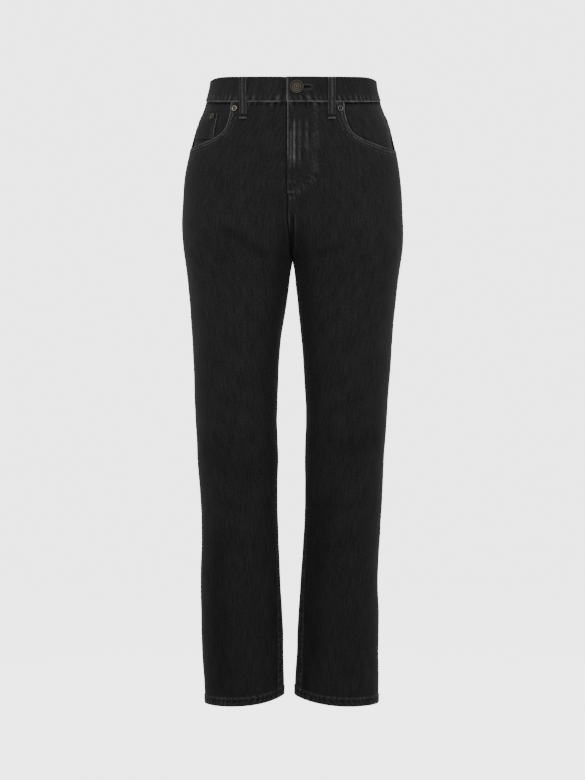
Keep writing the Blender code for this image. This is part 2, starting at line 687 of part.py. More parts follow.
def cut_buttonhole(band):
    """A slot through the band's outer layer only, from the button's shank towards the wearer's left."""
    half = BUTTONHOLE_WIDTH / 2
    start = front_arc_at(LEFT, CENTRE_FRONT + BUTTON_FROM_CENTRE, BUTTON_DROP)
    shape = bmesh.new()
    outline = []
    for centre, turn_from in ((BUTTONHOLE_LENGTH - half, -np.pi / 2), (0.0, np.pi / 2)):
        for k in range(7):
            turn = turn_from + np.pi * k / 6
            outline.append((start + centre + half * np.cos(turn), BUTTON_DROP + half * np.sin(turn)))
    top = [shape.verts.new(cloth_point(LEFT, arc, drop, 0.006)) for arc, drop in outline]
    foot_lift = BAND_LIFT + BAND_LAP + GAP - BAND_CLOTH - GAP / 2
    foot = [shape.verts.new(cloth_point(LEFT, arc, drop, foot_lift)) for arc, drop in outline]
    shape.faces.new(top)
    shape.faces.new(foot[::-1])
    for a, b, c, d in zip(top, foot, foot[1:] + foot[:1], top[1:] + top[:1]):
        shape.faces.new((a, b, c, d))
    bmesh.ops.recalc_face_normals(shape, faces=shape.faces)
    mesh = bpy.data.meshes.new("buttonhole_cutter")
    shape.to_mesh(mesh)
    shape.free()
    cutter = bpy.data.objects.new("buttonhole_cutter", mesh)
    bpy.context.scene.collection.objects.link(cutter)
    cutter.hide_render = True
    cutter.display_type = "WIRE"
    slot = band.modifiers.new("buttonhole", "BOOLEAN")
    slot.operation = "DIFFERENCE"
    slot.object = cutter


def rivet(name, side, from_centre, drop, lift, colour):
    """A copper-style rivet: a low ring round a small raised nail."""
    r = RIVET_RADIUS
    profile = (
        (0.0, 0.0),
        (0.92 * r, 0.0),
        (r, 0.0005),
        (0.92 * r, 0.0012),
        (0.62 * r, 0.0014),
        (0.48 * r, 0.0008),
        (0.34 * r, 0.0008),
        (0.22 * r, 0.0015),
        (0.0, 0.0017),
    )
    item = turned(name, profile, metal(f"{name}_metal", colour, 0.35))
    arc = front_arc_at(side, CENTRE_FRONT + side * from_centre, drop)
    seat(item, side, arc, drop, lift)


def main():
    for item in list(bpy.data.objects):
        bpy.data.objects.remove(item)
    for side in (LEFT, RIGHT):
        front_panel(side)
        back_panel(side)
        yoke(side)
        pocket_facing(side)
        back_pocket(side)
    coin_pocket()
    cut_buttonhole(waistband())
    belt_loops()
    waist_button()
    rivet("rivet_right", RIGHT, RIVET_FROM_CENTRE, RIVET_DROP, GAP, COPPER)
    rivet("rivet_left", LEFT, RIVET_FROM_CENTRE, RIVET_DROP, GAP, GUNMETAL)
    rivet("rivet_coin_pocket", RIGHT, COIN_RIVET_FROM_CENTRE, COIN_RIVET_DROP, COIN_LIFT + GAP, AGED_BRASS)


main()
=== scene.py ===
"""The looks of the cropped straight jeans: fine cloth on the frame's own surface, seams, stitching and wear.

Metres, +Z up, the front faces -Y and the wearer's left is +X. Every cloth piece lies on one shared surface,
addressed by side (LEFT or RIGHT), arc (metres round the cloth from the side seam, forward negative) and
drop (metres below the waistband's top edge at the side). Lift moves a point outwards from that surface.
"""

from collections import namedtuple

import bmesh
import bpy
import numpy as np
from mathutils import Matrix, Vector


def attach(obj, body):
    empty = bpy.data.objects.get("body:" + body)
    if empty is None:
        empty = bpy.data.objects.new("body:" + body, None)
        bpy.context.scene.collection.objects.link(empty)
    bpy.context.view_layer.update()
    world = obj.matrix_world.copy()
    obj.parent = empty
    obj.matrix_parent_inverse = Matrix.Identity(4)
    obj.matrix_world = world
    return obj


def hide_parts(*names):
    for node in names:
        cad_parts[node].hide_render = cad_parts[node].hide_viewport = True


LEFT, RIGHT = 1, -1
SIDES = {LEFT: "left", RIGHT: "right"}
BODY = "root"

# Cloth and seams. The solids' cloth is 0.0015 thick, their fly ends at 0.1750, and nothing laps below it
GAP = 0.0003
CLOTH = 0.0012
BAND_CLOTH = 0.0030
BAND_LIFT = 0.0012
LOOP_CLOTH = 0.0020
WAIST_MIDDLE = 0.0185
BAND_HEIGHT = 0.0370
FLY_END = 0.1850
CROTCH = 0.2750
HEM = 0.9365
HEM_DEPTH = 0.0120
HEM_LIFT = 0.0008
HEM_FOLD = 0.0012
WAIST_TILT = 0.148
TILT_END = 0.200
SIDE_DIP = 0.0065
SIDE_DIP_POWER = 14
HEM_RISE = 0.0130
HEM_RISE_FROM = 0.800
SEAM_FORWARD = 0.008
INSEAM_FORWARD = 0.022
CENTRE_FRONT = -0.0075
FLY_LIFT = 0.0018
FLY_FLAT = 0.0025
BAND_LAP = 0.0010
BAND_UNDERLAP = 0.0300
SEAM_LAP = 0.0032
FRONT_LAP = 0.0068
FRONT_LAP_FADES = (0.222, 0.248)
SEAM_LIFT = 0.0014
TUCK = 0.0030
TUCK_SINK = -0.0018
RISE_TUCK = 0.0022
WAIST_PUCKER = 0.0088
POCKET_PUCKER = 0.0068
ROPE_PITCH = 0.0085
ROPE_SLANT = 1.3
YOKE_AT_SIDE = 0.0300
YOKE_AT_BACK = 0.0680
RING_POINTS = 721
RING_OVERRUN = 0.9
SOFTENING = (-0.012, -0.006, 0.0, 0.006, 0.012)

# Outline of each leg and the body, as in the solids: a row for each level
Section = namedtuple("Section", "drop right_outer right_inner left_outer left_inner front back square")
SECTIONS = (
    Section(-0.020, 0.1205, -0.1205, 0.1235, -0.1235, 0.0960, 0.0960, 2.20),
    Section(0.000, 0.1215, -0.1215, 0.1245, -0.1245, 0.0970, 0.0980, 2.20),
    Section(0.020, 0.1240, -0.1240, 0.1263, -0.1263, 0.0985, 0.1005, 2.20),
    Section(0.037, 0.1292, -0.1290, 0.1315, -0.1315, 0.1005, 0.1035, 2.20),
    Section(0.055, 0.1335, -0.1330, 0.1365, -0.1360, 0.1028, 0.1070, 2.20),
    Section(0.066, 0.1400, -0.1385, 0.1430, -0.1410, 0.1036, 0.1090, 2.20),
    Section(0.080, 0.1446, -0.1415, 0.1472, -0.1435, 0.1045, 0.1120, 2.20),
    Section(0.095, 0.1487, -0.1425, 0.1502, -0.1440, 0.1055, 0.1160, 2.20),
    Section(0.125, 0.1565, -0.1400, 0.1578, -0.1410, 0.1068, 0.1230, 2.20),
    Section(0.155, 0.1624, -0.1300, 0.1618, -0.1300, 0.1075, 0.1290, 2.22),
    Section(0.185, 0.1641, -0.1080, 0.1646, -0.1080, 0.1075, 0.1330, 2.25),
    Section(0.215, 0.1652, -0.0660, 0.1658, -0.0660, 0.1062, 0.1335, 2.30),
    Section(0.245, 0.1646, -0.0220, 0.1658, -0.0220, 0.1035, 0.1310, 2.35),
    Section(0.262, 0.1628, -0.0060, 0.1646, -0.0060, 0.1018, 0.1285, 2.38),
    Section(0.275, 0.1608, 0.0000, 0.1625, 0.0000, 0.1000, 0.1255, 2.40),
    Section(0.285, 0.1592, 0.0018, 0.1610, 0.0028, 0.0985, 0.1225, 2.40),
    Section(0.305, 0.1566, 0.0045, 0.1587, 0.0048, 0.0955, 0.1165, 2.36),
    Section(0.335, 0.1536, 0.0087, 0.1554, 0.0081, 0.0920, 0.1100, 2.30),
    Section(0.395, 0.1500, 0.0174, 0.1497, 0.0136, 0.0855, 0.1000, 2.20),
    Section(0.455, 0.1476, 0.0218, 0.1457, 0.0186, 0.0795, 0.0925, 2.15),
    Section(0.515, 0.1450, 0.0230, 0.1412, 0.0204, 0.0745, 0.0865, 2.12),
    Section(0.575, 0.1419, 0.0213, 0.1370, 0.0183, 0.0700, 0.0820, 2.10),
    Section(0.635, 0.1380, 0.0227, 0.1338, 0.0186, 0.0660, 0.0790, 2.10),
    Section(0.695, 0.1359, 0.0206, 0.1307, 0.0165, 0.0630, 0.0765, 2.10),
    Section(0.755, 0.1373, 0.0174, 0.1283, 0.0119, 0.0605, 0.0745, 2.10),
    Section(0.815, 0.1367, 0.0143, 0.1295, 0.0084, 0.0590, 0.0725, 2.10),
    Section(0.875, 0.1343, 0.0129, 0.1286, 0.0057, 0.0580, 0.0705, 2.10),
    Section(0.940, 0.1310, 0.0128, 0.1286, 0.0024, 0.0580, 0.0690, 2.10),
)

# The front pocket's opening: distance out from the centre front line at each drop
PocketPoint = namedtuple("PocketPoint", "drop from_centre")
POCKET_OPENING = (
    PocketPoint(0.0370, 0.0825),
    PocketPoint(0.0490, 0.0832),
    PocketPoint(0.0640, 0.0860),
    PocketPoint(0.0790, 0.0917),
    PocketPoint(0.0885, 0.1005),
    PocketPoint(0.0947, 0.1105),
    PocketPoint(0.0995, 0.1215),
    PocketPoint(0.1040, 0.1330),
    PocketPoint(0.1080, 0.1450),
    PocketPoint(0.1110, 0.1600),
)
FACING_UNDERLAP = 0.018
FACING_FOOT = 0.1230
FACING_SINK = 0.0014
COIN_TOP = 0.0545
COIN_FOOT = 0.0935
COIN_TOP_FROM_CENTRE = 0.1025
COIN_SLANT = 0.19
COIN_OUTER_ARC = -0.0090
COIN_LIFT = 0.0006

# Folds: soft troughs (negative depth) and ridges, the solids' own first, then the lesser ones
Fold = namedtuple("Fold", "side from_arc from_drop to_arc to_drop width depth")
FOLDS = (
    Fold(RIGHT, -0.125, 0.236, -0.175, 0.272, 0.0070, -0.0022),
    Fold(RIGHT, -0.145, 0.226, -0.190, 0.262, 0.0100, 0.0012),
    Fold(LEFT, -0.150, 0.262, -0.185, 0.272, 0.0070, -0.0014),
    Fold(RIGHT, 0.120, 0.285, 0.190, 0.262, 0.0110, -0.0030),
    Fold(LEFT, 0.115, 0.288, 0.190, 0.265, 0.0120, -0.0028),
    Fold(RIGHT, 0.100, 0.318, 0.185, 0.290, 0.0130, -0.0022),
    Fold(LEFT, 0.105, 0.325, 0.180, 0.296, 0.0120, -0.0024),
    Fold(RIGHT, -0.045, 0.560, -0.110, 0.585, 0.0220, -0.0016),
    Fold(LEFT, -0.060, 0.548, -0.125, 0.570, 0.0200, -0.0014),
    Fold(RIGHT, 0.045, 0.570, 0.130, 0.600, 0.0160, -0.0030),
    Fold(LEFT, 0.050, 0.580, 0.125, 0.556, 0.0170, -0.0030),
    Fold(RIGHT, 0.060, 0.622, 0.120, 0.640, 0.0160, -0.0022),
    Fold(LEFT, 0.055, 0.630, 0.115, 0.612, 0.0150, -0.0022),
    Fold(LEFT, -0.170, 0.862, -0.135, 0.925, 0.0080, -0.0018),
    Fold(RIGHT, -0.055, 0.700, -0.050, 0.905, 0.0180, -0.0022),
    Fold(LEFT, -0.120, 0.640, -0.130, 0.880, 0.0200, -0.0022),
)

# Belt loops
LOOP_WIDTH = 0.0112
LOOP_TOP = 0.0012
LOOP_BELOW_BAND = 0.0260
LOOP_FOLD = 0.0075
FRONT_LOOP_FROM_CENTRE = 0.0642
SIDE_BACK_LOOP_ARC = 0.0850

# Back pockets
PATCH_TOP = 0.1200
PATCH_WIDTH = 0.1340
PATCH_FOOT_WIDTH = 0.1160
PATCH_SIDE = 0.1080
PATCH_POINT = 0.1360
PATCH_FROM_BACK = 0.0420
PATCH_TILT = 0.0060
PATCH_LIFT = 0.0006

# Button and rivets
BUTTON_RADIUS = 0.0100
BUTTON_DROP = 0.0155
BUTTON_FROM_CENTRE = 0.0133
BUTTONHOLE_WIDTH = 0.0034
BUTTONHOLE_LENGTH = 0.0200
RIVET_RADIUS = 0.0046
RIVET_DROP = 0.0468
RIVET_FROM_CENTRE = 0.0767
COIN_RIVET_DROP = 0.0592
COIN_RIVET_FROM_CENTRE = 0.1095
ROUND_SEGMENTS = 64
# Their faces from the rim to the middle: (share of the radius, height)
BUTTON_FACE = (
    (0.88, 0.0), (0.985, 0.0006), (1.0, 0.0012), (0.97, 0.0020), (0.90, 0.0024), (0.83, 0.0021),
    (0.78, 0.0013), (0.72, 0.0012), (0.67, 0.0017), (0.62, 0.0012), (0.50, 0.0011), (0.44, 0.0012),
    (0.38, 0.0019), (0.31, 0.0019), (0.25, 0.0013), (0.18, 0.0015), (0.10, 0.0021), (0.0, 0.0023),
)
RIVET_FACE = (
    (0.86, 0.0), (0.98, 0.0003), (1.0, 0.0008), (0.93, 0.0014), (0.78, 0.0018), (0.62, 0.0015),
    (0.50, 0.0006), (0.42, 0.0003), (0.34, 0.0003), (0.26, 0.0009), (0.16, 0.0012), (0.0, 0.0012),
)
# Their rings of painted shade, on the hollows of their faces and round the foot of the rim: (share of the
# radius, width as a share, darkness)
BUTTON_SHADE_RINGS = ((0.78, 0.08, 0.90), (0.45, 0.06, 0.75), (0.22, 0.06, 0.70), (1.0, 0.04, 0.40))
RIVET_SHADE_RINGS = ((0.40, 0.15, 0.92), (1.0, 0.08, 0.75), (0.0, 0.22, 0.45))
BEADS = 26
BEAD_RADIUS = 0.00050
BEAD_RING = 0.53

# How finely the visible cloth is divided
GRID_STEP = 0.002
GRID_ARC = 0.300
EDGE_STEP = 0.001
PANEL_COLUMNS = 54
PANEL_ROW = 0.0042
BAND_COLUMNS = 200
BAND_HOLE_COLUMNS = 46

# Thread
STITCH_PITCH = 0.0031
STITCH_LENGTH = 0.0023
THREAD_RADIUS = 0.00036
ROW_INSET = 0.0018
ROW_SPACING = 0.0060
FELL_WIDTH = 0.0085

# The camera stands where the photographer did
CAMERA_AT = (0.0, -3.0, -0.451)
CAMERA_LENS = 92.3
FLOOR_Z = -1.30
ROOM_RADIUS = 7.0
ROOM_CURVE = 2.5
WALL_TOP = 3.0
ROOM_GLOW = 2.9
SKY_STRENGTH = 0.95

# Soft lamps, each aimed at a height on the object's own axis
Lamp = namedtuple("Lamp", "name place aim size power")
LAMPS = (
    Lamp("key", (0.3, -2.8, 2.1), -0.30, (2.2, 1.6), 62.0),
    Lamp("left_side", (-2.8, -0.4, 0.4), -0.5, (1.0, 2.0), 9.0),
    Lamp("right_side", (2.8, -0.4, 0.4), -0.5, (1.0, 2.0), 12.0),
    Lamp("behind", (0.0, 3.4, 1.6), -0.4, (2.2, 1.6), 40.0),
)

# The cloth's colour: between its yarns, on them, and where it is rubbed
Tones = namedtuple("Tones", "dark light worn")
LEG_TONES = Tones((0.0056, 0.0056, 0.0056), (0.0190, 0.0189, 0.0189), (0.105, 0.103, 0.101))
POCKET_TONES = Tones((0.0050, 0.0050, 0.0050), (0.0185, 0.0184, 0.0184), (0.095, 0.093, 0.091))
BAND_TONES = Tones((0.0060, 0.0060, 0.0060), (0.0195, 0.0194, 0.0194), (0.115, 0.113, 0.111))
THREAD_TONE = (0.020, 0.020, 0.020)

COPPER = (0.270, 0.225, 0.190)
GUNMETAL = (0.120, 0.118, 0.116)
AGED_BRASS = (0.095, 0.095, 0.068)
BRONZE = (0.092, 0.080, 0.066)


def ease(low, high, value):
    """0 below low, 1 above high, and smooth between them."""
    share = np.clip((np.asarray(value, float) - low) / (high - low), 0.0, 1.0)
    return share * share * (3.0 - 2.0 * share)


def bump(value, width):
    """1 at zero, fading to nothing within about two widths."""
    return np.exp(-((np.asarray(value, float) / width) ** 2))


def ripple(along, pitch):
    """An uneven ripple from -1 to 1 along a seam, with about one crest for each pitch."""
    wander = 0.9 * np.sin(along * (2 * np.pi / (pitch * 3.7)))
    wander = wander + 0.7 * np.sin(along * (2 * np.pi / (pitch * 6.1)) + 2)
    strength = 0.65 + 0.35 * np.sin(along * (2 * np.pi / (pitch * 4.3)) + 1)
    return np.sin(along * (2 * np.pi / pitch) + wander) * strength


def crests(along, pitch):
    """The ripple's upper half: nothing between its crests, and up to 1 on them."""
    return np.clip(ripple(along, pitch), 0, 1)


def smooth_through(places, values, at):
    """The values at several places, on a smooth curve that never swings past the table's points."""
    step = np.diff(places)
    rise = np.diff(values) / step
    turning = rise[:-1] * rise[1:] <= 0
    total = np.where(turning, 1.0, rise[:-1] + rise[1:])
    middle = np.where(turning, 0.0, 2.0 * rise[:-1] * rise[1:] / total)
    slope = np.concatenate(([rise[0]], middle, [rise[-1]]))
    i = np.clip(np.searchsorted(places, at) - 1, 0, len(step) - 1)
    t = (at - places[i]) / step[i]
    start = values[i] + t * t * (3 - 2 * t) * (values[i + 1] - values[i])
    return start + step[i] * t * (1 - t) * ((1 - t) * slope[i] - t * slope[i + 1])


class Surface:
    """One half of the garment's smooth surface, read from a fine grid of its rings."""

    def __init__(self, side):
        self.side = side
        self.drops = np.arange(-0.006, HEM + 0.0015, EDGE_STEP)
        self.arcs = np.arange(-GRID_ARC, GRID_ARC + GRID_STEP / 2, GRID_STEP)
        table = np.array(SECTIONS)
        levels = [np.clip(self.drops + step, table[0, 0], table[-1, 0]) for step in SOFTENING]
        columns = [
            np.mean([smooth_through(table[:, 0], table[:, k], at) for at in levels], axis=0)
            for k in range(table.shape[1])
        ]
        self.rows = Section(*columns)
        self.outer = self.rows.left_outer if side == LEFT else self.rows.right_outer
        self.inner = self.rows.left_inner if side == LEFT else self.rows.right_inner
        rings = [self.ring(i) for i in range(len(self.drops))]
        self.rings = rings
        points = [[np.interp(self.arcs, arcs, p[:, axis]) for axis in range(3)] for _, arcs, p in rings]
        self.points = np.array(points).transpose(0, 2, 1)
        down = np.gradient(self.points, axis=0)
        along = np.gradient(self.points, axis=1)
        normal = np.cross(down, along) * side
        self.normals = normal / np.linalg.norm(normal, axis=2, keepdims=True)
        self.front = np.array([self.edge(i, -1) for i in range(len(self.drops))])
        self.back = np.array([self.edge(i, 1) for i in range(len(self.drops))])

    def ring(self, i):
        drop = self.drops[i]
        outer, inner = self.outer[i], self.inner[i]
        if drop >= CROTCH:
            inner = max(inner, 0.0)
        centre, half = (outer + inner) / 2, (outer - inner) / 2
        turn = np.linspace(-np.pi - RING_OVERRUN, np.pi + RING_OVERRUN, RING_POINTS)
        across, along = np.cos(turn), np.sin(turn)
        power = 2.0 / self.rows.square[i]
        out = GAP / 2 + centre + half * np.sign(across) * np.abs(across) ** power
        depth = np.where(along < 0, self.rows.front[i], self.rows.back[i])
        y = depth * np.sign(along) * np.abs(along) ** power
        inward = (outer - out) / (outer - inner)
        rise = HEM_RISE * inward**3 * ease(HEM_RISE_FROM, HEM, drop)
        tilt = WAIST_TILT * y * (1 - ease(BAND_HEIGHT, TILT_END, drop))
        points = np.column_stack((self.side * out, y, WAIST_MIDDLE - drop + tilt + rise))
        length = np.concatenate(([0.0], np.cumsum(np.linalg.norm(np.diff(points, axis=0), axis=1))))
        near_side = np.abs(turn) < np.pi / 3
        seam = np.interp(-SEAM_FORWARD, y[near_side], length[near_side])
        return turn, length - seam, points

    def between(self, i, low, high, axis, value):
        """The arc, between two turns of one ring, where a coordinate has that value."""
        turn, arcs, points = self.rings[i]
        inside = (turn >= low) & (turn <= high)
        order = np.argsort(points[inside, axis])
        return float(np.interp(value, points[inside, axis][order], arcs[inside][order]))

    def edge(self, i, way):
        """The arc of the centre seam, or of the inseam below the crotch; way is -1 in front and 1 behind."""
        drop = self.drops[i]
        if drop < CROTCH:
            low, high = sorted((way * np.pi / 2, way * np.pi))
            return self.between(i, low, high, 0, self.side * GAP / 2)
        low, high = sorted((way * 0.75 * np.pi, way * 1.25 * np.pi))
        return self.between(i, low, high, 1, -INSEAM_FORWARD * ease(CROTCH, HEM, drop))

    def arc_at(self, x, drop, way=-1):
        """The arc, in front or behind, where the cloth stands at that x."""
        low, high = sorted((way * np.pi, way * 0.02))
        row = np.round((np.asarray(drop) - self.drops[0]) / EDGE_STEP).astype(int)
        row = np.clip(row, 0, len(self.drops) - 1)
        x = np.broadcast_to(np.asarray(x, float), row.shape)
        found = [self.between(int(i), low, high, 0, float(v)) for i, v in zip(row.ravel(), x.ravel())]
        return np.array(found).reshape(row.shape)

    def front_edge(self, drop):
        return np.interp(drop, self.drops, self.front)

    def back_edge(self, drop):
        return np.interp(drop, self.drops, self.back)

    def sample(self, field, arc, drop):
        r = np.clip((np.asarray(drop, float) - self.drops[0]) / EDGE_STEP, 0, len(self.drops) - 1.001)
        c = np.clip((np.asarray(arc, float) - self.arcs[0]) / GRID_STEP, 0, len(self.arcs) - 1.001)
        i, j = r.astype(int), c.astype(int)
        s, t = (r - i)[..., None], (c - j)[..., None]
        top = field[i, j] * (1 - t) + field[i, j + 1] * t
        foot = field[i + 1, j] * (1 - t) + field[i + 1, j + 1] * t
        return top * (1 - s) + foot * s

    def folds(self, arc, drop):
        """How far the folds and the cloth's slight unevenness raise or sink it."""
        height = np.zeros(np.broadcast(arc, drop).shape)
        for fold in FOLDS:
            if fold.side != self.side:
                continue
            run = np.array((fold.to_arc - fold.from_arc, fold.to_drop - fold.from_drop))
            a, d = arc - fold.from_arc, drop - fold.from_drop
            share = np.clip((a * run[0] + d * run[1]) / (run @ run), 0.0, 1.0)
            height += fold.depth * bump(np.hypot(a - share * run[0], d - share * run[1]), fold.width)
        below = ease(0.11, 0.20, drop)
        shift = 1.7 * self.side
        slow = np.sin(arc * 41 + 5 * np.sin(drop * 9 + shift))
        slow = slow * np.sin(drop * 23 + 3 * np.sin(arc * 17 + shift))
        quick = np.sin(arc * 97 + 4 * np.sin(drop * 21 - shift))
        quick = quick * np.sin(drop * 61 + 2 * np.sin(arc * 38 - shift))
        return height + below * (0.00055 * slow + 0.00022 * quick)

    def at(self, arc, drop, lift=0.0):
        """The points that far out from the cloth, each half kept on its own side of the middle."""
        start = self.sample(self.points, arc, drop)
        normal = self.sample(self.normals, arc, drop)
        raised = start + normal * (np.asarray(lift) + self.folds(arc, drop))[..., None]
        close = (self.side * start[..., 0] > 0) & (self.side * start[..., 0] < 0.001)
        kept = self.side * np.maximum(self.side * raised[..., 0], GAP / 2)
        raised[..., 0] = np.where(close, kept, raised[..., 0])
        return raised


def feed(tree, source, socket):
    """Feeds a socket from a (node, output) pair, or gives it a plain value."""
    if isinstance(source, tuple) and isinstance(source[0], bpy.types.Node):
        tree.links.new(source[0].outputs[source[1]], socket)
    else:
        socket.default_value = source


def new_node(tree, kind, **inputs):
    """A shader node, each input fed by its name from a value or a (node, output) pair."""
    made = tree.nodes.new(kind)
    for name, source in inputs.items():
        feed(tree, source, made.inputs[name.replace("_", " ")])
    return made


def math_node(tree, operation, first, second):
    """A Math node of two numbers, each a value or a (node, output) pair."""
    made = tree.nodes.new("ShaderNodeMath")
    made.operation = operation
    feed(tree, first, made.inputs[0])
    feed(tree, second, made.inputs[1])
    return made


def mix_node(tree, factor, first, second, blend="MIX"):
    """The colour between two others, or of both where they are multiplied."""
    made = new_node(tree, "ShaderNodeMixRGB", Fac=factor, Color1=first, Color2=second)
    made.blend_type = blend
    return made


def attribute(tree, name):
    made = tree.nodes.new("ShaderNodeAttribute")
    made.attribute_name = name
    return made


def by_shade(tree, colour):
    """A colour darkened or lit by the mesh's own shade."""
    return mix_node(tree, 1.0, colour, (attribute(tree, "shade"), "Color"), "MULTIPLY")


def principled(name, **inputs):
    """A new material, its node tree, and its shader with these inputs set."""
    material = bpy.data.materials.new(name)
    material.use_nodes = True
    shader = material.node_tree.nodes["Principled BSDF"]
    for key, value in inputs.items():
        shader.inputs[key.replace("_", " ")].default_value = value
    return material, material.node_tree, shader


def speckled(tree, colour, dim, bright, **inputs):
    """A noise, and the colour that it carries from dim to bright times this one."""
    places = tree.nodes.new("ShaderNodeTexCoord")
    noise = new_node(tree, "ShaderNodeTexNoise", Vector=(places, "Object"), **inputs)
    tones = [(*[c * times for c in colour], 1.0) for times in (dim, bright)]
    return noise, mix_node(tree, (noise, 0), *tones)


def denim(name, tones, twill_turn=1.0):
    """Washed black twill: diagonal ribs, warp streaks, a soft mottle, and pale wear where a mesh marks it."""
    material, tree, shader = principled(
        name,
        Roughness=0.88,
        Specular_IOR_Level=0.08,
        Sheen_Weight=0.05,
        Sheen_Roughness=0.38,
        Sheen_Tint=(0.92, 0.94, 1.0, 1.0),
    )
    cloth = tree.nodes.new("ShaderNodeUVMap")
    cloth.uv_map = "cloth"

    def texture(kind, across, down, **inputs):
        """A texture in the cloth's own coordinates, with so many repeats to a metre each way."""
        space = new_node(tree, "ShaderNodeMapping", Vector=(cloth, "UV"), Scale=(across, down, 1.0))
        return new_node(tree, kind, Vector=(space, "Vector"), Scale=1.0, **inputs)

    streaks = texture("ShaderNodeTexNoise", 520.0, 38.0, Detail=3.0, Roughness=0.6)
    specks = texture("ShaderNodeTexNoise", 400.0, 400.0, Detail=2.0, Roughness=0.7)
    mottle = texture("ShaderNodeTexNoise", 60.0, 34.0, Detail=4.0, Roughness=0.55)
    twill = texture("ShaderNodeTexWave", 560.0, 560.0 * twill_turn, Distortion=1.2, Detail=1.0)
    twill.bands_direction = "DIAGONAL"

    grain = math_node(tree, "MULTIPLY", (streaks, 0), 0.62)
    for source, strength in (((specks, 0), 0.62), ((twill, "Fac"), 0.22), ((mottle, 0), 0.20)):
        part = math_node(tree, "MULTIPLY", source, strength)
        grain = math_node(tree, "ADD", (grain, 0), (part, 0))
    spread = new_node(tree, "ShaderNodeMapRange", Value=(grain, 0), From_Min=0.64, From_Max=1.00)
    base = mix_node(tree, (spread, "Result"), (*tones.dark, 1.0), (*tones.light, 1.0))

    patchy = math_node(tree, "MULTIPLY", (spread, "Result"), 1.1)
    patchy = math_node(tree, "ADD", (patchy, 0), 0.30)
    amount = math_node(tree, "MULTIPLY", (attribute(tree, "wear"), "Fac"), (patchy, 0))
    amount.use_clamp = True
    final = mix_node(tree, (amount, 0), (by_shade(tree, (base, "Color")), "Color"), (*tones.worn, 1.0))
    feed(tree, (final, "Color"), shader.inputs["Base Color"])
    relief = new_node(tree, "ShaderNodeBump", Height=(grain, 0), Strength=0.35, Distance=0.0004)
    feed(tree, (relief, "Normal"), shader.inputs["Normal"])
    return material


def thread(name, colour):
    """Polyester sewing thread, a little brighter than the cloth."""
    material, tree, shader = principled(name, Roughness=0.6, Specular_IOR_Level=0.25)
    _, tone = speckled(tree, colour, 0.6, 1.5, Scale=300.0, Detail=2.0)
    feed(tree, (tone, "Color"), shader.inputs["Base Color"])
    return material


def aged_metal(name, colour, roughness):
    """Metal with dark oxide in patches and a brighter, rubbed surface between them, darkened where its mesh
    carries painted shade.
    """
    material, tree, shader = principled(name, Metallic=1.0)
    noise, tone = speckled(tree, colour, 0.45, 1.35, Scale=420.0, Detail=4.0, Roughness=0.6)
    feed(tree, (by_shade(tree, (tone, "Color")), "Color"), shader.inputs["Base Color"])
    polish = {"To_Min": roughness + 0.15, "To_Max": roughness - 0.10}
    rough = new_node(tree, "ShaderNodeMapRange", Value=(noise, 0), **polish)
    feed(tree, (rough, "Result"), shader.inputs["Roughness"])
    return material


def in_scene(name, data):
    """A new object of that data, in the scene."""
    item = bpy.data.objects.new(name, data)
    bpy.context.scene.collection.objects.link(item)
    return item


def link_object(name, mesh, material, replaced=()):
    """A visible piece, riding on the body and standing for the nodes that it replaces."""
    mesh.materials.append(material)
    item = in_scene(name, mesh)
    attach(item, BODY)
    if replaced:
        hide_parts(*replaced)
    return item


def set_field(mesh, name, values):
    made = mesh.attributes.new(name, "FLOAT", "POINT")
    made.data.foreach_set("value", np.asarray(values, np.float32).ravel())


def wall(surface, arc, drop, outer, inner, wear, shade):
    """A cloth piece's grid: its points outside and inside, at those lifts, and its marks."""
    faces = {"outer": surface.at(arc, drop, outer), "inner": surface.at(arc, drop, inner)}
    return {**faces, "arc": arc, "drop": drop, "wear": wear, "shade": shade}


def cloth_piece(name, grid, material, replaced=()):
    """A closed wall from arrays of outer and inner points, with its cloth coordinates, wear and shade."""
    rows, columns = grid["outer"].shape[:2]
    count = rows * columns
    points = np.concatenate((grid["outer"].reshape(-1, 3), grid["inner"].reshape(-1, 3)))
    index = np.arange(count).reshape(rows, columns)
    quads = np.stack((index[:-1, :-1], index[1:, :-1], index[1:, 1:], index[:-1, 1:]), axis=-1).reshape(-1, 4)
    rim = np.concatenate((index[0, :-1], index[:-1, -1], index[-1, :0:-1], index[:0:-1, 0]))
    after = np.roll(rim, -1)
    sides = np.stack((rim, after, after + count, rim + count), axis=-1)
    faces = np.concatenate((quads, quads[:, ::-1] + count, sides))
    mesh = bpy.data.meshes.new(name)
    mesh.from_pydata(points.tolist(), [], faces.tolist())
    wanted = grid["outer"] - grid["inner"]
    first = mesh.polygons[len(quads) // 2]
    if Vector(wanted.reshape(-1, 3)[quads[len(quads) // 2][0]]).dot(first.normal) < 0:
        mesh.flip_normals()
    uv = mesh.uv_layers.new(name="cloth")
    corners = np.zeros(len(mesh.loops), np.int32)
    mesh.loops.foreach_get("vertex_index", corners)
    flat = np.stack((grid["arc"], grid["drop"]), axis=-1).reshape(-1, 2)
    flat = np.concatenate((flat, flat))
    uv.data.foreach_set("uv", flat[corners].astype(np.float32).ravel())
    for field in ("wear", "shade"):
        values = np.broadcast_to(grid[field], (rows, columns)).ravel()
        inside = values if field == "shade" else values * 0.3
        set_field(mesh, field, np.concatenate((values, inside)))
    mesh.shade_smooth()
    mesh.set_sharp_from_angle(angle=0.9)
    return link_object(name, mesh, material, replaced)


def light_from_above(drop):
    """The cloth darkens slowly down the legs."""
    return 0.99 - 0.25 * ease(0.28, 0.92, drop)


def crease_shade(surface, arc, drop):
    """Troughs gather shadow, and the ridges beside them catch a little light."""
    height = surface.folds(arc, drop)
    return 1 + 120 * np.minimum(height, 0) + 45 * np.maximum(height, 0)


def under_band(drop):
    """The shadow that the waistband's lower edge casts on the cloth just below it."""
    return 1 - 0.88 * bump(drop - BAND_HEIGHT - 0.0012, 0.0028)


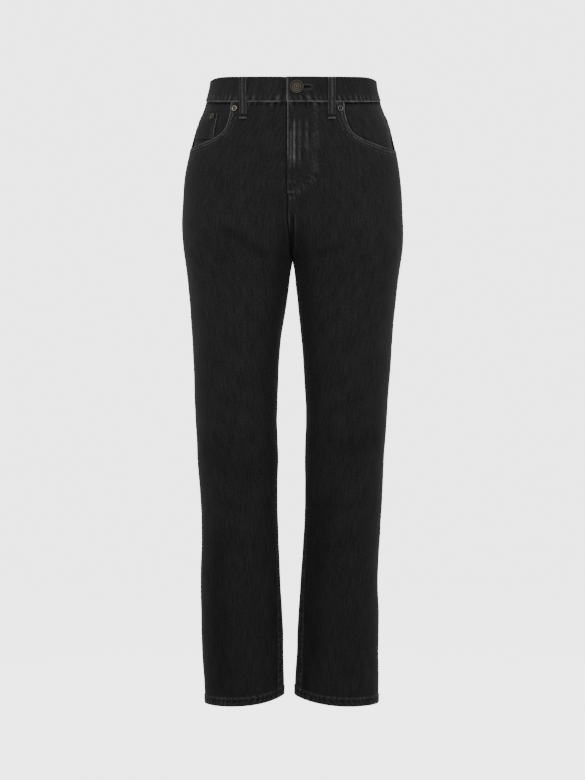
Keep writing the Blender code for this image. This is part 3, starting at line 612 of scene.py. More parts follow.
def pocket_curve(surface, drops):
    """The arcs of the front pocket's opening edge at those drops, or the side seam's below it."""
    table = np.array(POCKET_OPENING)
    inside = np.clip(drops, table[0, 0], table[-1, 0])
    reach = smooth_through(table[:, 0], table[:, 1], inside)
    arc = surface.arc_at(CENTRE_FRONT + surface.side * reach, inside)
    outer = np.interp(drops, surface.drops, surface.outer)
    gone = (drops >= table[-1, 0]) | (np.abs(CENTRE_FRONT + surface.side * reach) > outer)
    return np.where(gone, -GAP / 2, np.minimum(arc, -GAP / 2))


def distance_to(curve, arc, drop):
    """The distance, in the flat cloth, from each place to a polyline of (arc, drop) points."""
    best = np.full(np.broadcast(arc, drop).shape, 1e9)
    for (a0, d0), (a1, d1) in zip(curve[:-1], curve[1:]):
        run = np.array((a1 - a0, d1 - d0))
        share = np.clip(((arc - a0) * run[0] + (drop - d0) * run[1]) / (run @ run + 1e-12), 0, 1)
        best = np.minimum(best, np.hypot(arc - a0 - share * run[0], drop - d0 - share * run[1]))
    return best


# Where a front panel's columns lie across it: closer together near its two edges, where the fine wear is
FINE_EDGE = 0.12
FRONT_SHARES = np.concatenate((
    np.linspace(0.0, FINE_EDGE, 25),
    np.linspace(FINE_EDGE, 1 - FINE_EDGE, 41)[1:],
    np.linspace(1 - FINE_EDGE, 1.0, 25)[1:],
))


def panel_rows(start, stop, marks=()):
    """Row levels at an even pace, with extra ones at marked levels and close to the crotch."""
    levels = list(np.arange(start, stop, PANEL_ROW))
    levels += [CROTCH - 0.050 * (1 - k / 16) ** 2 for k in range(17)]
    levels += [level + step for level in marks for step in (-0.0008, 0.0, 0.0008)]
    levels += [stop, stop - 0.0007]
    levels = np.array(sorted(level for level in set(np.round(levels, 5)) if start <= level <= stop))
    keep = np.concatenate(([True], np.diff(levels) > 0.0004))
    return levels[keep]


def crowded(edge, foot, inseam, share, drop):
    """One row's arcs from edge to foot. Near the crotch they crowd at the edge and keep the leg's places."""
    even = edge + (foot - edge) * share
    if drop >= CROTCH or drop <= FLY_END:
        return even
    tight = edge + (even - edge) * (1 - 0.75 * ease(FLY_END, CROTCH - 0.020, drop))
    leg = inseam + (foot - inseam) * share
    return np.where(foot > edge, np.maximum(tight, leg), np.minimum(tight, leg))


def seam_lap(drop):
    """How far the left half laps over the right below the fly and at the back, nothing at the crotch."""
    return 1 - ease(0.2690, 0.2748, drop)


def front_lap(drop):
    """How far the left front laps over the right below the fly, less and less down to the crotch."""
    return (SEAM_LAP + (FRONT_LAP - SEAM_LAP) * (1 - ease(*FRONT_LAP_FADES, drop))) * seam_lap(drop)


def rise_sink(drop):
    """How far the right half's tucked edge lies below the left half's, more and more down to the crotch."""
    return 0.0003 + 0.0013 * ease(0.232, 0.262, drop)


def tucked(arc, reach, at_start):
    """Adds two columns that carry a panel's edge on under its neighbour, at its start or at its end."""
    if at_start:
        return np.hstack((arc[:, :1] - reach, arc[:, :1] - reach * 0.35, arc))
    return np.hstack((arc, arc[:, -1:] + reach * 0.35, arc[:, -1:] + reach))


def hem_relief(arc, drop):
    """The turned hem: a raised band, its stitched line sunk, and slanting ropes across it."""
    inside = ease(HEM - HEM_DEPTH - 0.0006, HEM - HEM_DEPTH + 0.0006, drop)
    slant = arc + (drop - HEM) * ROPE_SLANT
    ropes = 0.00042 * ripple(slant, ROPE_PITCH) * bump(drop - (HEM - 0.0060), 0.0070)
    groove = -0.00025 * bump(drop - (HEM - HEM_DEPTH + ROW_INSET), 0.0010)
    return inside * HEM_LIFT + ropes + groove


def hem_wear(arc, drop):
    slant = arc + (drop - HEM) * ROPE_SLANT
    edge = 0.50 * bump(HEM - drop, 0.0015) * np.clip(0.45 + 0.55 * ripple(arc, 0.0125), 0, 1)
    top = 0.36 * bump(drop - (HEM - HEM_DEPTH), 0.0012) * np.clip(0.4 + 0.6 * ripple(slant, 0.0070), 0, 1)
    ticks = 0.24 * bump(drop - (HEM - 0.0060), 0.0055) * crests(slant, ROPE_PITCH)
    return edge + top + ticks


def hem_shade(arc, drop):
    """The hollows between the hem's ropes, and the sunk line of stitches, are darker."""
    slant = arc + (drop - HEM) * ROPE_SLANT
    hollows = 0.45 * bump(drop - (HEM - 0.0060), 0.0060) * np.clip(-ripple(slant, ROPE_PITCH), 0, 1)
    return (1 - hollows) * (1 - 0.35 * bump(drop - (HEM - HEM_DEPTH + ROW_INSET), 0.0010))


def stitch_grooves(distance):
    """Where a seam's two rows of stitches pull the cloth in."""
    return bump(distance - ROW_INSET, 0.0008) + bump(distance - ROW_INSET - ROW_SPACING, 0.0008)


def leg_inside(drop, lift, lap):
    """The lift of a leg's inner face: its thickness below the outer one, and more behind the hem's fold."""
    return lap - CLOTH - np.where(drop > HEM - HEM_DEPTH, HEM_FOLD, 0.0) + np.minimum(lift, 0.0)


def felled(distance, along, width=FELL_WIDTH, height=0.0006):
    """A felled seam's doubled strip, slightly puckered between its two rows of stitches."""
    strip = height * (1 - ease(width - 0.0009, width + 0.0009, distance))
    pucker = 0.00018 * ripple(along, 0.0075) * (1 - ease(width, width + 0.006, distance))
    return strip + pucker - 0.00020 * stitch_grooves(distance)


def front(surface, material):
    """A front leg from the waist seam to the hem. The left one laps over the right at the fly."""
    side = surface.side
    opening = POCKET_OPENING[-1].drop
    marks = (FLY_END + 0.0008, opening - 0.0008, HEM - HEM_DEPTH)
    rows = panel_rows(BAND_HEIGHT - 0.001, HEM, marks)
    extra = (np.linspace(0.080, opening, 27), np.linspace(opening + 0.0012, 0.126, 12))
    rows = np.unique(np.concatenate((rows, *extra)))
    inseam, ends = surface.front_edge(CROTCH), pocket_curve(surface, rows)
    arcs = []
    for drop, foot in zip(rows, ends):
        edge = surface.front_edge(drop) + (GAP / 2 if drop >= CROTCH else 0.0)
        if side == LEFT and drop <= FLY_END:
            edge = float(surface.arc_at(CENTRE_FRONT, drop))
        elif side == LEFT and seam_lap(drop) > 0:
            edge = float(surface.arc_at(-front_lap(drop), drop))
        arcs.append(crowded(edge, foot, inseam, FRONT_SHARES, drop))
    arc = np.array(arcs)
    column = rows[:, None]
    below = ease(opening, opening + 0.004, column)
    arc = tucked(arc, TUCK * below + 0.0001, at_start=False)
    inner_edge = arc[:, :1].copy()
    if side == RIGHT:
        rise = (column > FLY_END - 0.01) * (column < CROTCH)
        arc = tucked(arc, 0.0001 + RISE_TUCK * rise, at_start=True)
    drop = np.broadcast_to(column, arc.shape)
    x = surface.sample(surface.points, arc, drop)[..., 0]

    down = np.linspace(BAND_HEIGHT, opening, 40)
    curve = np.column_stack((pocket_curve(surface, down), down))
    to_pocket = distance_to(curve, arc, drop)
    to_inner, to_side = arc - inner_edge, -arc
    below_fly, in_fly = drop > FLY_END + 0.002, drop < FLY_END + 0.002

    lift = hem_relief(arc, drop)
    lift += np.where(drop > CROTCH, felled(to_inner, drop), 0.0)
    lift += 0.00025 * ripple(drop, 0.0095) * bump(to_side, 0.006) * ease(0.10, 0.13, drop)
    lift -= 0.0006 * bump(to_side, 0.0012) * ease(opening, opening + 0.006, drop)
    lift += TUCK_SINK * ease(-0.0004, 0.0008, -to_side) * below
    pocket_strip = 1 - ease(0.0078, 0.0094, to_pocket)
    puckered = ripple(arc * 0.9 + drop, POCKET_PUCKER) * (1 - ease(0.008, 0.014, to_pocket))
    lift += 0.00045 * pocket_strip + 0.00024 * puckered
    lift -= 0.00018 * stitch_grooves(to_pocket)
    lift += 0.0003 * ripple(arc, WAIST_PUCKER) * bump(drop - BAND_HEIGHT, 0.0070)
    lap = np.zeros_like(lift)
    if side == LEFT:
        lap = SEAM_LIFT * seam_lap(drop) * (1 - ease(0.002, 0.012, x))
        lap *= ease(FLY_END - 0.004, FLY_END + 0.004, drop)
        lap += FLY_LIFT * (1 - ease(FLY_FLAT, 0.014, x)) * (1 - ease(FLY_END + 0.0006, FLY_END + 0.013, drop))
        lift += 0.00030 * ripple(drop, 0.0105) * bump(x - CENTRE_FRONT - 0.004, 0.009) * in_fly
        fly_line = distance_to(fly_stitch(), x, drop)
        lift -= 0.00022 * bump(fly_line, 0.0011)
        lift += 0.00022 * ripple(drop + x, 0.0090) * bump(fly_line, 0.0045)
        lift += np.where(below_fly & (drop < CROTCH), felled(to_inner, drop, FELL_WIDTH, 0.0003), 0.0)
    else:
        beyond = ease(-0.0004, 0.0004, -to_inner) * (drop < CROTCH)
        lift -= beyond * rise_sink(drop)
    under = leg_inside(drop, lift, lap)

    rows_dotted = 0.55 + 0.45 * ripple(arc * 0.9 + drop, 0.0062)
    in_pocket_strip = (to_pocket > 0.0012) & (to_pocket < 0.0086)
    wear = 1.0 * bump(to_pocket, 0.0014) * (0.80 + 0.20 * ripple(arc + drop, 0.013))
    wear += 0.24 * in_pocket_strip * crests(arc * 0.9 + drop, 0.0062)
    wear += 0.46 * bump(to_pocket - 0.0050, 0.0011) * rows_dotted
    wear += 0.20 * bump(to_pocket - 0.0102, 0.0013) * rows_dotted
    wear += hem_wear(arc, drop)
    wear += 0.30 * bump(to_side - 0.0030, 0.0022) * below
    wear += 0.30 * crests(arc, WAIST_PUCKER) * bump(drop - BAND_HEIGHT, 0.0060)
    leg = drop > CROTCH
    wear += np.where(leg, 0.34 * bump(to_inner - 0.0088, 0.0015) * (0.6 + 0.4 * ripple(drop, 0.0075)), 0.0)
    wear += np.where(leg, 0.22 * crests(drop, 0.0075) * (to_inner < 0.0075), 0.0)
    shade = light_from_above(drop) * crease_shade(surface, arc, drop)
    shade *= under_band(drop) * hem_shade(arc, drop)
    puckers = np.clip(0.35 + 0.65 * ripple(arc * 0.9 + drop, POCKET_PUCKER), 0, 1)
    shade *= 1 - 0.85 * bump(to_pocket - 0.0078, 0.0020) * puckers
    shade *= 1 - 0.45 * bump(to_pocket - 0.0026, 0.0010)
    shade *= 1 - np.where(leg, 0.30 * bump(to_inner - 0.0072, 0.0012), 0.0)
    if side == LEFT:
        from_edge = x - CENTRE_FRONT
        upper = 1 - 0.85 * ease(0.116, 0.134, drop)
        wear += 1.10 * bump(from_edge, 0.0014) * in_fly * upper * (0.75 + 0.25 * ripple(drop, 0.016))
        wear += fly_fading(x, drop)
        wear += 0.26 * bump(fly_line - 0.0020, 0.0013) * (0.5 + 0.5 * ripple(drop + x, 0.009))
        rise = below_fly & (drop < CROTCH)
        rows_start = ease(0.206, 0.220, drop)
        grooves = 0.80 * bump(x + 0.0026, 0.0011) + 0.80 * bump(x - 0.0023, 0.0011)
        ridges = 0.16 * bump(x + 0.0046, 0.0010) + 0.10 * bump(x, 0.0010) + 0.16 * bump(x - 0.0045, 0.0011)
        dots = 0.34 * crests(drop, 0.0050) * (bump(x + 0.0038, 0.0014) + 0.8 * bump(x - 0.0028, 0.0014))
        wear += np.where(rise, ridges * rows_start + dots * (1 - rows_start), 0.0)
        shade *= 1 - np.where(rise, grooves * rows_start, 0.0)
        shade *= 1 - 0.40 * bump(fly_line, 0.0010) * (0.6 + 0.4 * ripple(drop + x, 0.0062))
        shade *= 1 - 0.75 * bump(drop - FLY_END, 0.0013) * (x < 0.0030)
        wear += 0.45 * bump(drop - FLY_END + 0.0030, 0.0012) * (x < 0.0030)
    else:
        grooved = (drop > FLY_END) * (drop < CROTCH)
        shade *= 1 - 0.65 * bump(x + front_lap(drop) + 0.0008, 0.0010) * grooved
        wear += 0.10 * bump(x + front_lap(drop) + 0.0034, 0.0010) * grooved
        shade *= 1 - 0.50 * bump(x - CENTRE_FRONT + 0.0012, 0.0014) * (drop < FLY_END)
    grid = wall(surface, arc, drop, lift + lap, under, wear, shade)
    if side == LEFT:
        onto_right(grid["outer"], x, drop, lift + lap)
        onto_right(grid["inner"], x, drop, lap - CLOTH)
    return cloth_piece(f"{SIDES[side]}_front", grid, material, (f"front_{SIDES[side]}",))


def fly_fading(x, drop):
    """The pale streaks that the zip's tape and teeth have rubbed into the fly, and the dots below them."""
    length = ease(0.058, 0.074, drop) * (1 - ease(0.128, 0.142, drop))
    uneven = 0.75 + 0.25 * ripple(drop, 0.017)
    streaks = 0.95 * bump(x - 0.0024, 0.0014) + 0.50 * bump(x + 0.0026, 0.0011) * ease(0.078, 0.088, drop)
    streaks = streaks + 0.34 * bump(x - 0.0102, 0.0014) + 0.34 * bump(x - 0.0206, 0.0015)
    dots = 0.42 * crests(drop, 0.0066) * (bump(x + 0.0040, 0.0015) + 0.8 * bump(x - 0.0022, 0.0015))
    return streaks * length * uneven + dots * ease(0.120, 0.128, drop) * (1 - ease(0.168, 0.176, drop))


def onto_right(points, x, drop, lifts):
    """Moves what laps past the centre line onto the right half's surface, which is what it lies on."""
    right = SURFACES[RIGHT]
    over = (x < 0) & (drop < CROTCH - 0.002)
    arc = right.arc_at(x[over], drop[over])
    points[over] = right.at(arc, drop[over], lifts[over])


def fly_stitch():
    """The fly's curved line of stitches as (x, drop) points: straight down, then in to the seam."""
    line = [(0.0335, drop) for drop in np.linspace(BAND_HEIGHT + 0.001, 0.138, 12)]
    turn = np.linspace(0, np.pi / 2, 10)
    line += [(0.0015 + 0.0320 * np.cos(t), 0.138 + 0.0445 * np.sin(t)) for t in turn[1:]]
    return np.array(line)


def yoke_foot(share):
    """The drop of the yoke's seam, from the side seam (0) to the centre back (1)."""
    return BAND_HEIGHT + YOKE_AT_SIDE + (YOKE_AT_BACK - YOKE_AT_SIDE) * share


def back(surface, material):
    """A back leg from the yoke seam to the hem."""
    side = surface.side
    level = FLY_END
    share = np.linspace(0, 1, PANEL_COLUMNS + 1)
    tops = yoke_foot(share) + GAP / 2
    rows, arcs = [], []
    steps = np.linspace(0, 1, 29)
    for step in np.concatenate(([-0.04, -0.014, 0.0, 0.008], steps[1:])):
        drop = tops + (level - tops) * step
        edge = surface.back_edge(drop) + (SEAM_LAP if side == LEFT else 0.0)
        rows.append(drop)
        arcs.append(GAP / 2 + (edge - GAP / 2) * share)
    inseam = surface.back_edge(CROTCH)
    for drop in panel_rows(level + PANEL_ROW, HEM, (HEM - HEM_DEPTH,)):
        edge = surface.back_edge(drop) - (GAP / 2 if drop >= CROTCH else 0.0)
        if side == LEFT and drop < CROTCH:
            edge += SEAM_LAP * seam_lap(drop)
        rows.append(np.full(PANEL_COLUMNS + 1, drop))
        arcs.append(crowded(edge, GAP / 2, inseam, share, drop)[::-1])
    arc, drop = np.array(arcs), np.array(rows)
    edge = arc[:, -1:].copy()
    level_of = drop[:, -1:]
    reach = 0.0001 + TUCK * ease(CROTCH + 0.004, CROTCH + 0.030, level_of)
    if side == RIGHT:
        reach = reach + RISE_TUCK * (level_of < CROTCH)
    arc = tucked(arc, reach, at_start=False)
    drop = np.hstack((drop, drop[:, -1:], drop[:, -1:]))
    tops = np.concatenate((tops, tops[-1:], tops[-1:]))
    to_inner, to_side, to_top = edge - arc, arc, drop - tops
    lift = hem_relief(arc, drop)
    lift += np.where(drop < CROTCH, felled(to_inner, drop) if side == LEFT else 0.0, 0.0)
    lift += 0.00025 * ripple(drop, 0.0095) * bump(to_side, 0.006)
    lift -= 0.0006 * bump(to_side, 0.0012)
    lift += 0.00022 * ripple(arc, 0.0085) * bump(to_top, 0.006)
    lift += TUCK_SINK * (ease(0.0002, 0.0012, -to_top) + ease(0.0, 0.0010, -to_inner) * (drop > CROTCH))
    lap = np.zeros_like(lift)
    if side == LEFT:
        lap = SEAM_LIFT * np.where(drop < CROTCH, seam_lap(drop), 0.0) * (1 - ease(0.005, 0.015, to_inner))
    else:
        lift -= ease(0.0, 0.0004, -to_inner) * (drop < CROTCH) * rise_sink(drop)
    under = leg_inside(drop, lift, lap)
    wear = hem_wear(arc, drop) + 0.45 * bump(to_side, 0.0020)
    wear += np.where(drop < CROTCH, 0.35 * bump(to_inner - (0.0088 if side == LEFT else 0.0004), 0.0014), 0.0)
    wear += 0.30 * crests(arc, 0.0085) * bump(to_top, 0.004)
    shade = light_from_above(drop) * crease_shade(surface, arc, drop) * hem_shade(arc, drop)
    grid = wall(surface, arc, drop, lift + lap, under, wear, shade)
    return cloth_piece(f"{SIDES[side]}_back", grid, material, (f"back_{SIDES[side]}",))


def yoke(surface, material):
    side = surface.side
    share = np.linspace(0, 1, 45)
    foot = yoke_foot(share) - GAP / 2
    top = BAND_HEIGHT - 0.001
    steps = np.concatenate(([0.0, 0.02], np.linspace(0.05, 0.97, 18), [1.0]))
    drop = top + (foot[None, :] - top) * steps[:, None]
    lapped = SEAM_LAP if side == LEFT else 0.0010
    arc = GAP / 2 + (surface.back_edge(drop) + lapped - GAP / 2) * share
    to_foot, to_inner = foot - drop, arc[:, -1:] - arc
    lift = felled(to_foot, arc)
    lap = np.zeros_like(lift)
    if side == LEFT:
        lift += felled(to_inner, drop)
        lap = SEAM_LIFT * (1 - ease(0.005, 0.015, to_inner))
    lift += 0.00030 * ripple(arc, WAIST_PUCKER) * bump(drop - BAND_HEIGHT, 0.007)
    lift -= 0.0006 * bump(arc, 0.0012)
    wear = 0.55 * bump(to_foot, 0.0012) + 0.30 * bump(to_foot - 0.0088, 0.0013) + 0.35 * bump(arc, 0.0020)
    wear += 0.30 * crests(arc, WAIST_PUCKER) * bump(drop - BAND_HEIGHT, 0.006)
    shade = 1.04 * under_band(drop)
    grid = wall(surface, arc, drop, lift + lap, lap - CLOTH, wear, shade)
    return cloth_piece(f"{SIDES[side]}_yoke", grid, material, (f"yoke_{SIDES[side]}",))


def facing(surface, material):
    """The cloth seen in the front pocket's opening, which runs on behind the front."""
    side = surface.side
    rows = np.linspace(BAND_HEIGHT - 0.001, FACING_FOOT, 34)
    ends = pocket_curve(surface, rows)
    innermost = pocket_curve(surface, np.array([0.1010]))[0] - FACING_UNDERLAP
    edge = np.minimum(ends - FACING_UNDERLAP, innermost)
    share = np.linspace(0, 1, 37)
    arc = edge[:, None] + (-GAP / 2 - edge[:, None]) * share
    drop = np.broadcast_to(rows[:, None], arc.shape)
    under = -0.0018 - FACING_SINK * ease(0.083, 0.1040, drop)
    lift = under + 0.00030 * ripple(arc, WAIST_PUCKER) * bump(drop - BAND_HEIGHT, 0.006)
    lift -= 0.0005 * bump(arc, 0.0014)
    wear = 0.30 * bump(arc, 0.0025) + 0.22 * crests(arc, WAIST_PUCKER) * bump(drop - BAND_HEIGHT, 0.006)
    curve = np.column_stack((ends, rows))
    near = distance_to(curve, arc, drop)
    under_coin = ease(0.086, 0.092, drop) * (side == RIGHT)
    shade = (1.10 - 0.55 * bump(near, 0.0035) * (1 - under_coin)) * under_band(drop)
    grid = wall(surface, arc, drop, lift, under - CLOTH, wear, shade)
    return cloth_piece(f"{SIDES[side]}_facing", grid, material, (f"pocket_facing_{SIDES[side]}",))


def coin_edge(surface, drop):
    """The arcs of the coin pocket's slanting inner edge."""
    return surface.arc_at(CENTRE_FRONT - COIN_TOP_FROM_CENTRE - COIN_SLANT * (drop - COIN_TOP), drop)


def coin_patch(material):
    """The small pocket on the right facing."""
    surface = SURFACES[RIGHT]
    rows = np.concatenate(([COIN_TOP, COIN_TOP + 0.0006], np.linspace(COIN_TOP + 0.0015, COIN_FOOT, 26)))
    low = np.maximum(coin_edge(surface, rows), pocket_curve(surface, rows) + 0.0006)
    share = np.linspace(0, 1, 31)
    arc = low[:, None] + (COIN_OUTER_ARC - low[:, None]) * share
    drop = np.broadcast_to(rows[:, None], arc.shape)
    to_top, to_low, to_side = drop - COIN_TOP, arc - low[:, None], COIN_OUTER_ARC - arc
    near = np.minimum(np.minimum(to_top, to_low), to_side)
    lift = COIN_LIFT - 0.0005 * bump(near, 0.0006) - 0.0002 * bump(near - ROW_INSET, 0.0008)
    lift += 0.00018 * ripple(arc + drop, 0.0070) * bump(near, 0.007)
    sunk = 0.0015 * ease(0.080, COIN_FOOT, drop)
    uneven = 0.6 + 0.4 * ripple(arc + drop, 0.0115)
    wear = 0.38 * bump(to_top, 0.0011) * uneven + 0.75 * bump(to_low, 0.0011) + 0.25 * bump(to_side, 0.0010)
    wear += 0.16 * bump(to_top - 0.0088, 0.0012) * uneven + 0.22 * bump(near - 0.0050, 0.0016) * uneven
    shade = 1.05 - 0.45 * bump(near - 0.0028, 0.0012) * uneven
    grid = wall(surface, arc, drop, lift - sunk, COIN_LIFT - CLOTH - sunk, wear, shade)
    return cloth_piece("coin_patch", grid, material, ("coin_pocket",))


def patch_places(surface, across, down):
    """Arcs and drops of a back pocket for shares across (-1 to 1) and down (0 to 1)."""
    centre = surface.back_edge(PATCH_TOP) - PATCH_FROM_BACK - PATCH_WIDTH / 2
    width = PATCH_WIDTH + (PATCH_FOOT_WIDTH - PATCH_WIDTH) * down
    point = (PATCH_POINT - PATCH_SIDE) * (1 - np.abs(across)) * down
    return centre + across * width / 2, PATCH_TOP + PATCH_SIDE * down + point - PATCH_TILT * across


def back_patch(surface, material):
    side = surface.side
    down, across = np.meshgrid(np.linspace(0, 1, 46), np.linspace(-1, 1, 45), indexing="ij")
    arc, drop = patch_places(surface, across, down)
    to_top = down * PATCH_SIDE
    to_edge = (1 - np.abs(across)) * PATCH_WIDTH / 2
    to_foot = (1 - down) * PATCH_SIDE
    near = np.minimum(np.minimum(to_edge, to_foot), to_top)
    lift = PATCH_LIFT + 0.0014 - 0.0006 * bump(near, 0.0008) + 0.0005 * (1 - ease(0.0115, 0.0130, to_top))
    lift += 0.00020 * ripple(arc + drop, 0.0078) * bump(near, 0.008)
    lift -= 0.00018 * stitch_grooves(near)
    uneven = 0.5 + 0.5 * ripple(arc + drop, 0.0078)
    wear = 0.70 * bump(near, 0.0012) + 0.30 * bump(near - 0.0088, 0.0014) * uneven
    wear += 0.35 * bump(to_top - 0.0122, 0.0010)
    shade = np.full(arc.shape, 1.04)
    grid = wall(surface, arc, drop, lift, PATCH_LIFT, wear, shade)
    return cloth_piece(f"{SIDES[side]}_back_patch", grid, material, (f"back_pocket_{SIDES[side]}",))


def band_dip(surface, arc):
    """How far the band's top edge dips where it turns the side of the waist."""
    start = int(round(-surface.drops[0] / EDGE_STEP))
    outer = surface.outer[start]
    x = surface.sample(surface.points, arc, np.zeros_like(arc))[..., 0]
    return SIDE_DIP * np.minimum(1.0, np.abs(x) / outer) ** SIDE_DIP_POWER


def band_half(surface, shares):
    """The waistband's grid over one half, from its front end to the centre back."""
    side = surface.side
    round_hole = np.linspace(0.0202, 0.0482, BAND_HOLE_COLUMNS)
    arcs, drops, lifts = [], [], []
    for share in shares:
        level = BAND_HEIGHT * share
        row = int(round((level - surface.drops[0]) / EDGE_STEP))
        end_x = CENTRE_FRONT - BAND_LAP if side == LEFT else CENTRE_FRONT + BAND_UNDERLAP
        end = surface.between(row, -1.2 * np.pi, -np.pi / 2, 0, end_x)
        last = surface.between(row, np.pi / 2, np.pi, 0, 0.0)
        arc = np.sort(np.concatenate((np.linspace(end, last, BAND_COLUMNS), end + round_hole)))
        x, y = surface.sample(surface.points, arc, np.full(len(arc), level))[:, :2].T
        if side == LEFT:
            lap = (BAND_LAP + GAP) * (1 - ease(0.030, 0.042, x))
        else:
            lap = -(BAND_LIFT + BAND_LAP + GAP) * ease(CENTRE_FRONT - 0.012, CENTRE_FRONT - 0.003, x)
        arcs.append(arc)
        drops.append(level + band_dip(surface, arc) * (1 - share))
        lifts.append(np.where(y > 0, 0.0, lap))
    return np.array(arcs), np.array(drops), np.array(lifts)


def hole_distance(surface, arc, drop):
    """The distance from the buttonhole's slot to each place on the band, and the place's way along it."""
    start = float(surface.arc_at(CENTRE_FRONT + BUTTON_FROM_CENTRE, BUTTON_DROP))
    along = np.clip(arc - start, 0.0, BUTTONHOLE_LENGTH - BUTTONHOLE_WIDTH / 2)
    return np.hypot(arc - start - along, drop - BUTTON_DROP), arc - start


def waistband(material):
    """One strip from the left end, over the button, round the back and under to the right end."""
    shares = np.concatenate(([0.0, 0.012, 0.03], np.linspace(0.06, 0.94, 24), [0.97, 0.988, 1.0]))
    parts = {key: [] for key in ("outer", "inner", "arc", "drop", "wear", "shade")}
    for side in (LEFT, RIGHT):
        surface = SURFACES[side]
        arc, drop, lap = band_half(surface, shares)
        depth = (BAND_HEIGHT * shares)[:, None]
        to_top, to_foot = depth, BAND_HEIGHT - depth
        soft = 0.0007 * (bump(to_top, 0.0007) + bump(to_foot, 0.0007))
        end = np.abs(arc - arc[:, :1])
        relief = 0.00032 * ripple(arc, 0.0092) * bump(to_foot, 0.0070)
        relief += 0.00020 * ripple(arc + 0.3, 0.0110) * bump(to_top, 0.0060)
        relief -= 0.00020 * (bump(to_top - ROW_INSET, 0.0008) + bump(to_foot - ROW_INSET, 0.0008))
        relief += 0.00030 * ripple(arc * 1.3 + 0.1, 0.034) * bump(depth - BAND_HEIGHT / 2, 0.012)
        if side == LEFT:
            soft = soft + 0.0006 * bump(end, 0.0008)
        outer = surface.at(arc, drop, BAND_LIFT + lap + relief - soft)
        inner = surface.at(arc, drop, BAND_LIFT + lap - BAND_CLOTH + 0.4 * soft)
        ticks = ripple(arc, 0.0092)
        wear = 0.30 * bump(to_top, 0.0014) * (0.65 + 0.35 * ripple(arc, 0.019))
        wear += 0.95 * bump(to_foot, 0.0015) * (0.72 + 0.28 * ripple(arc, 0.031))
        wear += 0.34 * bump(to_foot - 0.0058, 0.0040) * np.clip(ticks, 0, 1)
        shade = 1.06 - 0.30 * bump(to_foot - 0.0056, 0.0040) * np.clip(-ticks, 0, 1)
        shade = shade - 0.25 * bump(to_foot - 0.0030, 0.0009)
        if side == LEFT:
            shade = shade * (1 - 0.13 * ease(0.026, 0.040, end) * (arc < 0))
            wear = wear + 1.0 * bump(end, 0.0017)
            hole, length = hole_distance(surface, arc, drop)
            shade = shade * (1 - 0.85 * (1 - ease(0.0010, 0.0019, hole)))
            stitches = 0.55 + 0.45 * np.sin(length * 2 * np.pi / 0.0022)
            wear = wear + 0.50 * bump(hole - 0.0034, 0.0009) * stitches
        half = {"outer": outer, "inner": inner, "arc": arc * side, "drop": drop, "wear": wear}
        half["shade"] = shade
        for key, values in half.items():
            parts[key].append(values if side == LEFT else values[:, -2::-1])
    grid = {key: np.concatenate(values, axis=1) for key, values in parts.items()}
    return cloth_piece("band", grid, material, ("waistband",))


def loop_rest(drop):
    """How far out a belt loop's inner face lies: over the band, slack at its middle, then on the cloth."""
    rest = BAND_LIFT + GAP - (BAND_LIFT - 0.0004) * ease(BAND_HEIGHT - 0.001, BAND_HEIGHT + 0.008, drop)
    return rest + 0.0006 * bump(drop - BAND_HEIGHT * 0.5, 0.012)


def loop_piece(name, node, surface, centre_of, material, slot):
    """A folded strip over the waistband, its foot turned under, with a pucker and two rows of stitches."""
    foot = BAND_HEIGHT + LOOP_BELOW_BAND
    over_band = (np.linspace(LOOP_TOP, LOOP_TOP + 0.003, 4), np.linspace(0.006, BAND_HEIGHT + 0.001, 16))
    levels = np.concatenate((*over_band, np.linspace(BAND_HEIGHT + 0.003, foot, 22)))
    across = np.array([-1.0, -0.97, -0.90, -0.72, -0.55, -0.3, 0.0, 0.3, 0.55, 0.72, 0.90, 0.97, 1.0])
    centre = np.array([float(centre_of(level)) for level in levels])
    arc = centre[:, None] + across * LOOP_WIDTH / 2
    drop = np.broadcast_to(levels[:, None], arc.shape)
    rest = loop_rest(drop)
    thick = LOOP_CLOTH * (1.0 + 0.55 * ease(foot - LOOP_FOLD - 0.001, foot - LOOP_FOLD + 0.001, drop))
    rounded = 0.0011 * ease(0.80, 1.0, np.abs(across))
    end = 0.0009 * (bump(drop - foot, 0.0008) + bump(drop - LOOP_TOP, 0.0008))
    valley = 0.00022 * bump(np.abs(across) - 0.64, 0.10)
    tack = 0.00045 * bump(drop - (foot - 0.0035), 0.0012)
    lift = rest + thick - rounded - end - valley - tack + 0.00015 * ripple(drop + arc, 0.0062)
    above_foot = 1 - ease(foot - 0.0095, foot - 0.0065, drop)
    wear = (0.42 * bump(1 - np.abs(across), 0.12) + 0.34 * bump(across, 0.26)) * above_foot
    wear = wear + 0.75 * bump(drop - (foot - 0.0014), 0.0012) + 0.20 * bump(drop - LOOP_TOP, 0.002)
    shade = 1.12 - 0.45 * bump(np.abs(across) - 0.60, 0.14) * above_foot
    shade = shade - 0.50 * bump(drop - (foot - 0.0050), 0.0022)
    grid = wall(surface, arc, drop, lift, rest, wear, shade)
    return cloth_piece(name, grid, material, (node,))


def loop_list():
    """Every belt loop as (piece, node, surface, the function that gives its centre arc at a drop)."""
    made = []
    for side in (LEFT, RIGHT):
        surface, word = SURFACES[side], SIDES[side]
        x = CENTRE_FRONT + side * FRONT_LOOP_FROM_CENTRE
        names = (f"{word}_front_loop", f"belt_loop_front_{word}")
        made.append((*names, surface, lambda d, s=surface, at=x: s.arc_at(at, d)))
        names = (f"{word}_back_loop", f"belt_loop_back_{word}")
        made.append((*names, surface, lambda d: SIDE_BACK_LOOP_ARC))
    left = SURFACES[LEFT]
    made.append(("centre_back_loop", "belt_loop_centre_back", left, lambda d: float(left.arc_at(0.0, d, 1))))
    return made


